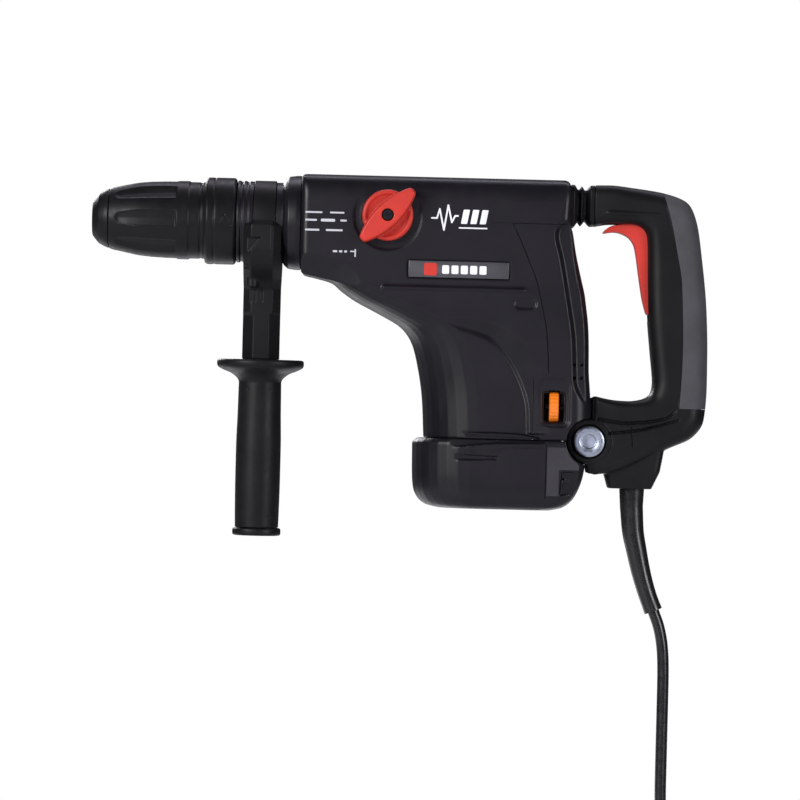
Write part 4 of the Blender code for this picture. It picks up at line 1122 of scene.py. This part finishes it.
def housing():
    blank = housing_blank()
    rows = [(37.2 - WALL, *HOUSING_ROWS[0][1:])]
    for row in HOUSING_ROWS[1:-1]:
        w = row[0] + (WALL if -115 < row[0] < -30 else 0)
        if w < rows[-1][0] - 0.2:
            rows.append((w, *row[1:]))
    rows.append((-170.5, *HOUSING_ROWS[-1][1:]))
    room = solid("room", level_loft(rows, HALF, WALL))
    for side in (-1, 1):
        cut(room, turned_under(side, 3.2), step_down(SHOULDER, 3.6, 4.2, 420, side, 3.0))
    cut(blank, shape_of(room), rod(150, 175, 25.8, steps=96))
    cover = twin(blank, "back_cover")
    cut(blank, rear_region(0.0))
    right = twin(blank, "shell_right")
    cut(blank, box((100, 420), (-0.15, 70), (-180, 60)))
    cut(blank, rod(-70, -30, 6.4, "y", KNOB, 48))
    blank.name = "shell_left"
    cut(right, box((100, 420), (-70, 0.15), (-180, 60)))
    keep(cover, rear_region(GAP))
    # Lug of the handle's pivot between the handle's cheeks
    cut(cover, rod(-60, 60, 18, "y", PIVOT, 64))
    join(cover, rod(-16.7, 16.7, 15, "y", PIVOT, 64), box((374, 389.5), (-16.7, 16.7), (-160, -140)))
    cut(cover, rod(-60, 60, 5.3, "y", PIVOT, 48), box((357.6, 366.0), (-60, -36), (-150.9, -125.7)))
    for made, node in ((blank, "left_shell"), (right, "right_shell"), (cover, "rear_cover")):
        piece(made, "housing", DARK_PLASTIC, (node,), 50)


def base():
    """Cover under the motor: a ledge, a slot, a flush panel and the clearance round the pivot."""
    made = solid("bottom_cover", level_loft(eased(BASE_ROWS, 4), BASE_HALF))
    for side in (-1, 1):
        slot = [(284, -176.2), (319.5, -177.4), (319.5, -180.2), (284, -181.2)]
        cut(made, sunk(softened(slot, 1.0), side, 1.6, 0.6))
        ledge = [(250, -160), (356, -160), (356, -166.4), (318, -167.6), (282, -171.4), (250, -172.4)]
        cut(made, sunk(softened(ledge, 0.8), side, 2.2, 0.8))
        cut(made, trench([(282, -175.2), (322, -173.2), (330, -170.6), (356, -169.4)], 1.5, 0.8, side))
        back = [(368.4, -188), (400, -188), (400, -206.5), (367, -206.5)]
        cut(made, sunk(softened(back, 1.2), side, 2.4, 1.2))
        for u in (370.6, 373.6):
            cut(made, rod(*outward(side, 41, OUT), 0.9, "y", (u, -194), 20))
    cut(made, rod(-60, 60, 18.4, "y", PIVOT, 72))
    refined(made, 0.7, 3, 0.35)
    for side in (-1, 1):
        cut(made, trench([(356.5, -167), (356.5, -209)], 0.8, 1.0, side, square=True))
    rows = [(-150, *BASE_ROWS[0][1:]), *BASE_ROWS[:5]]
    cut(made, level_loft(rows, BASE_HALF, BASE_WALL))
    cut(made, rod(-60, 60, 18.4, "y", PIVOT, 72))
    piece(made, "housing", DARK_PLASTIC, ("base_cover",), 50)
    # Rear edge of the flush panel, (w, u), which steps in below the pivot; its front edge is straight
    edge = [(-169.6, 372.4), (-171, 372.4), (-176, 374.5), (-180, 378), (-183, 382), (-186.8, 382)]
    edge += [(-186.82 - 2.523 * k, 366.6) for k in range(9)]
    front = 357.4
    for side, name in ((-1, "left"), (1, "right")):
        loops = []
        for w, last in edge:
            low, high = half_at(w) - 0.9, half_at(w) + 0.3
            corners = ((front, low, w), (front, high, w), (last, high, w), (last, low, w))
            loops.append(slice_of(corners, side))
        panel = solid("flush_panel_" + name, skin_loops(loops))
        piece(panel, "housing", PANEL_GREY)


# ---------------------------------------------------------------- controls, badge and marks


def controls():
    knob()
    dial()
    badge()
    marks()


def knob():
    """Mode knob: a dished disc under a lever at 45 degrees, with a screw in its middle."""
    disc = [
        (-40.7, 0), (-40.7, 19.2), (-41.2, 19.75), (-46.6, 19.75), (-47.9, 19.2), (-48.5, 18.2),
        (-48.5, 16.9), (-47.3, 15.2), (-46.9, 12), (-46.9, 0),
    ]
    made = solid("knob", turned(disc, "y", KNOB, 128))
    lens = [(28.0, 0), (27.4, 3.1), (21, 5.9), (13.5, 8.1), (6, 9.3), (0, 9.6)]
    outline = [(a, b) for a, b in lens] + [(-a, b) for a, b in lens[-2::-1]]
    outline += [(-a, -b) for a, b in lens[1:]] + [(a, -b) for a, b in lens[-2:0:-1]]
    root = math.sqrt(0.5)
    loops = []
    for share, depth in ((1.0, -44.0), (1.0, -52.6), (0.94, -54.8), (0.84, -55.9)):
        loop = []
        for a, b in softened(outline, 2.0):
            a, b = a * (1 - (1 - share) * 0.35), b * share
            loop.append(at(KNOB[0] + (a - b) * root, depth, KNOB[1] + (a + b) * root))
        loops.append(loop)
    join(made, skin_loops(loops))
    cut(made, rod(-OUT, -50.98, 4.8, "y", KNOB, 48))
    refined(made, 0.4, 2, 0.5)
    cut(made, rod(-OUT, -50.98, 4.8, "y", KNOB, 48))
    piece(made, "selector", RED_PLASTIC, ("selector_knob",), 50)
    head = [(-51.3, 0), (-51.3, 4.4), (-54.0, 4.4), (-54.5, 3.9), (-54.5, 0)]
    made = solid("knob_screw", turned(head, "y", KNOB, 64))
    for turn in (20, 110):
        cut(made, side_plate(pill(KNOB, 5.2, 1.2, turn), -56, -53.2))
    piece(made, "selector", DARK_STEEL, ("selector_screw",))


def dial():
    """Thumb wheel with ribs round its rim."""
    u, y, w = 361.8, -33.5, -138.3
    rim = [(12.0 if k % 5 < 3 else 11.7, 2 * math.pi * k / 120) for k in range(120)]
    loops = []
    for across, share in ((-3.6, 0.93), (-3.0, 1.0), (3.0, 1.0), (3.6, 0.93)):
        loops.append([
            at(u + across, y + radius * share * math.cos(turn), w + radius * share * math.sin(turn))
            for radius, turn in rim
        ])
    made = solid("thumb_wheel", skin_loops(loops))
    cut(made, turned([(358, 2.5), (366, 2.5)], "u", (y, w), 48))
    piece(made, "speed_dial", ORANGE_PLASTIC, ("speed_dial",), 30)


def badge():
    """Blank plate with a generic red block and pale bars on it."""
    made = solid("name_plate", box((247.0, 324.5), (-42.77, -41.57), (-40.9, -28.2)))
    bevelled(made, 0.5, 3)
    piece(made, "housing", BADGE, ("badge_plate",))
    corners = [(259.0, -29.8), (268.8, -29.8), (268.8, -39.4), (259.0, -39.4)]
    block = solid("plate_block", side_plate(softened(corners, 1.4), -43.0, -42.6))
    piece(block, "housing", RED_PLASTIC)
    bars = solid("plate_bars", side_plate(rounded_box((275.6, -34.6), 5.4, 6.6, 1.0), -42.95, -42.6))
    for k in range(1, 5):
        join(bars, side_plate(rounded_box((275.6 + 7.2 * k, -34.6), 5.4, 6.6, 1.0), -42.95, -42.6))
    piece(bars, "housing", WHITE_MARK)


def printed(outline):
    """Ink just proud of the left face."""
    loops = [[at(u, -(half_at(w) + rise), w) for u, w in outline] for rise in (-0.9, 0.14)]
    return skin_loops(loops)


def marks():
    """Generic wave and bars above the plate, and plain strokes beside the knob."""
    wave = [(264, 5), (268, 5), (270, 12), (273.5, -4), (276.5, 15), (279.5, 2), (282, 7), (284, 7)]
    made = solid("wave_mark", printed(pill((266, 5), 5.2, 1.3, 0)))
    for start, end in zip(wave[1:], wave[2:]):
        join(made, printed(stroke(start, end, 1.3, 1.2)))
    for k in range(3):
        u = 286.5 + 7.2 * k
        slant = [(u, 1), (u + 4.8, 1), (u + 6.8, 12), (u + 2, 12)]
        join(made, printed(softened(slant, 0.7)))
    join(made, printed(pill((296, -2.2), 22, 1.1, 0)))
    piece(made, "housing", WHITE_MARK)
    strokes = solid("mode_marks", printed(pill((173, 7.2), 13, 1.3)))
    rows = (
        (191, 7.2, 11, 1.3), (171, 1.2, 9, 1.5), (184, 1.2, 11, 2.2), (196, 1.2, 5, 1.5),
        (172, -6.4, 11, 1.5), (189, -6.4, 13, 1.5), (190, -22.6, 3.4, 1.6), (194.4, -22.6, 2.6, 1.6),
        (198.2, -22.6, 2.2, 1.6), (203.4, -22.4, 3.6, 1.0),
    )
    for u, w, length, height in rows:
        join(strokes, printed(pill((u, w), length, height)))
    join(strokes, printed(pill((205.6, -23.6), 6, 1.1, 90)))
    piece(strokes, "housing", MARKING)


# ---------------------------------------------------------------- rear handle

# Sections round the hand opening: near edge (u, w), far edge (u, w), half width, two roundings
GRIP_ROWS = (
    (390.5, 3.0, 390.5, 34.8, 19, 7, 9), (403, 5, 403, 35, 19.5, 8, 9), (419, 5.2, 420.5, 33.3, 19.8, 9, 10),
    (427.6, 2.2, 446, 29.6, 20, 11, 12), (431.4, -3.8, 463.5, 22.5, 19.8, 12, 14),
    (432.2, -13, 470.8, 7.5, 19.4, 12, 15), (432.6, -30, 475.7, -22, 19, 12, 15),
    (433.8, -62, 480, -60, 19, 12, 15), (436.7, -92, 481.5, -93, 19, 12, 15),
    (439.4, -117, 481.7, -120, 19.3, 12, 15), (438, -126, 479.8, -146, 19.8, 11, 15),
    (431.5, -130.8, 471, -159.6, 20.5, 9, 14), (421, -132.4, 452, -168.9, 21.5, 7, 12),
    (410, -132, 427, -181, 23.5, 6, 9), (400.6, -130.6, 406, -188.5, 25.5, 5, 7),
    (394.4, -129.2, 394.4, -190.2, 26.8, 4, 6),
)
GRIP_STEPS = 5
SKIN_FRONT = (
    (443.5, 45), (444, 29.5), (450, 9), (456, -20), (459, -36), (460.4, -56), (461.5, -88), (461, -115),
    (459.7, -137.4),
)
SKIN = 3.0
TRIGGER_OUTLINE = (
    (396.7, -2.6), (400, 1.4), (404.5, 3.9), (421, 6.5), (431, 5.5), (437, 0), (439, -10), (438.6, -40),
    (437.4, -64), (433.2, -65.5), (431.1, -58.4), (429.3, -51.3), (426.6, -35.3), (424.2, -19.5),
    (422.4, -10.8), (418.4, -5.1), (412, -1.9), (405.7, -0.9),
)


def limb(rows, inset=0.0):
    """Solid through sections from a near edge to a far edge, drawn in by inset."""
    loops = []
    for near_u, near_w, far_u, far_w, half, *rounds in rows:
        run = Vector((far_u - near_u, far_w - near_w))
        length = run.length
        run.normalize()
        rounds = [max(size - inset, 1.0) for size in rounds]
        outline = slab(inset, length - inset, half - inset, *rounds)
        loops.append([at(near_u + run.x * s, y, near_w + run.y * s) for s, y in outline])
    return skin_loops(loops)


def skin_region(gap):
    edge = [(u - gap, w) for u, w in SKIN_FRONT]
    return side_plate([*smooth_pairs(edge, 4), (500, SKIN_FRONT[-1][1] - gap), (500, 45)], -60, 60)


def arm_half(point):
    """Half width of the handle at a (u, w) point of its side face."""
    return 19.5 if point.y > -127 else 19.6 + max(0.0, 432 - point.x) * 0.165


def rear_handle():
    fine = eased(GRIP_ROWS, GRIP_STEPS)
    whole = handle_blank(fine)
    skin = twin(whole, "grip_skin")
    keep(skin, skin_region(0.0))
    # The skin and the core under it end inside the arms
    cut(skin, limb(fine[GRIP_STEPS : 13 * GRIP_STEPS + 1], SKIN))
    piece(skin, "rear_handle", SOFT_GREY, ("soft_grip",), 50)
    cut(whole, skin_region(GAP))
    join(whole, limb(fine[2 * GRIP_STEPS : 12 * GRIP_STEPS + 1], SKIN + GAP))
    cut(whole, rod(-OUT, OUT, 5.3, "y", PIVOT, 48))
    slot = [(394, 12), (448, 12), (448, -70), (426, -70), (426, -12), (394, -12)]
    cut(whole, side_plate(slot, -10.1, 10.1), box((447, 469), (-10, 10), (-62, -16)))
    cut(whole, rod(-215, -178, 8, "w", (425.4, 0), 48))
    right = twin(whole, "grip_right")
    whole.name = "grip_left"
    for made, away, node in ((whole, (-0.15, 70), "handle_left"), (right, (-70, 0.15), "handle_right")):
        cut(made, box((380, 500), away, (-230, 60)))
        piece(made, "rear_handle", BLACK_PLASTIC, (node,), 50)
    made = solid("trigger_lever", side_plate(softened(TRIGGER_OUTLINE, 3), -9.5, 9.5))
    refined(made, 0.5, 4, 0.4)
    piece(made, "trigger", RED_PLASTIC, ("trigger",), 50)
    bellows()
    pivot()
    hinge_surround()
    spring = coil_spring("mount_spring", 7.0, 373.8, 388.7, 4, 18.2)
    piece(spring, "housing", STEEL, ("damper_spring",))
    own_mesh(spring)


def handle_blank(fine):
    """Whole handle with its gland, cheeks and grooves, before it is split."""
    whole = solid("grip_blank", limb(fine))
    gland = [(-160, 404, 451, 17, 6), (-187, 402.6, 446.3, 17, 6), (-200.5, 406.5, 440, 15.5, 5)]
    join(whole, skin_loops([[at(u, y, w) for u, y in slab(a, b, half, r, r)] for w, a, b, half, r in gland]))
    join(whole, rod(-26.8, 26.8, 17, "y", PIVOT, 72))
    cut(whole, rod(-17.3, 17.3, 18.5, "y", PIVOT, 72))
    arm = [(396, -146.6), (410, -149), (422.6, -149.4), (440, -147.5), (452, -144), (457, -138)]
    grooves = (
        (smooth_pairs(SKIN_FRONT[1:], 3), 1.4, 0.9),
        (smooth_pairs(arm, 3), 2.0, 1.6),
        (smooth_pairs([(404.6, -157.9), (430, -154.5), (460, -146.2)], 6), 1.8, 1.6),
        ([(402, 31), (440, 28), (452, 20)], 1.0, 0.7),
    )
    bead = [(399, 13.4, 0.3), (402, 13.4, 1.5), (440, 12.6, 1.5), (448, 10.5, 0.4)]
    for side in (-1, 1):
        for path, width, depth in grooves:
            cut(whole, trench(path, width, depth, side, arm_half))
        join(whole, side_bead(bead, side, 19.3))
        cut(whole, rod(*outward(side, 25.6, 40), 13.4, "y", PIVOT, 72))
        # The cheeks reach forward, to close the view past the pivot
        cheek = outward(side, 18.0, 26.0)
        join(whole, side_plate([(392.3, -130.4), (396, -129.8), (396, -149), (392.3, -148)], *cheek))
        join(whole, side_plate([(388.8, -182.2), (397, -180), (397, -190), (389.8, -189.2)], *cheek))
    refined(whole, 0.65, 3, 0.35)
    for side in (-1, 1):
        cut(whole, trench([(422.8, -152), (423.8, -168)], 0.7, 1.1, side, arm_half, square=True))
    return whole


def hinge_surround():
    """Web and ring of the housing behind the pivot's cheeks, which close the view past them."""
    web = side_plate([(388.5, -131.5), (392.7, -132), (392.7, -147), (388.5, -149)], -16.4, 16.4)
    web = bevelled(solid("hinge_web", web), 0.4)
    piece(web, "housing", DARK_PLASTIC)
    ring = [(-16.2, 15.3), (-16.2, 18.4), (16.2, 18.4), (16.2, 15.3)]
    ring = solid("hinge_ring", turned(softened(ring, 0.5), "y", PIVOT, 96, True))
    piece(ring, "housing", BLACK_PLASTIC)


def bellows():
    """Folded boot round the sprung top mount."""
    folds = eased([
        (0, 0.5), (0.12, 0.5), (0.3, -3.2), (0.44, -0.6), (0.6, -3.6), (0.76, -1.0), (0.86, 0.2), (1, 0.2),
    ], 6)
    loops = []
    for share, swell in folds:
        u = 372.3 + 17.9 * share
        low = 2.2 + 1.2 * share - swell
        outline = slab(low, 34.2 + swell, 17.5 + swell, 6, 6, 8)
        loops.append([at(u, y, w) for w, y in outline])
    made = solid("boot", skin_loops(loops))
    cut(made, box((365, 395), (-10.5, 10.5), (8.5, 28)))
    piece(made, "housing", BLACK_RUBBER, ("bellows_boot",), 60)
    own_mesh(made)


def pivot():
    """Zinc-plated bolt through the cheeks, with its nut on the far side."""
    head = [
        (-27.1, 0), (-27.1, 12), (-28.7, 12), (-29.3, 11.2), (-29.3, 7.2), (-28.9, 6.6), (-28.9, 5.6),
        (-27.9, 5.2), (-27.9, 0),
    ]
    made = solid("hinge_bolt", turned(head, "y", PIVOT, 96))
    join(made, rod(-27.5, 33.6, 5, "y", PIVOT, 64))
    bevelled(made, 0.25, 2, 40)
    piece(made, "housing", ZINC, ("pivot_bolt",))
    nut = [(PIVOT[0] + u, PIVOT[1] + w) for u, w in circle(9, 6)]
    made = solid("hinge_nut", side_plate(nut, 27.1, 33.1))
    cut(made, rod(20, 40, 5.15, "y", PIVOT, 48))
    bevelled(made, 0.4)
    piece(made, "housing", ZINC, ("pivot_nut",))


# ---------------------------------------------------------------- finish

camera()
studio()
finish_cad_nodes()
lead()
chuck()
nose_collar()
side_handle()
housing()
base()
controls()
rear_handle()
floor()
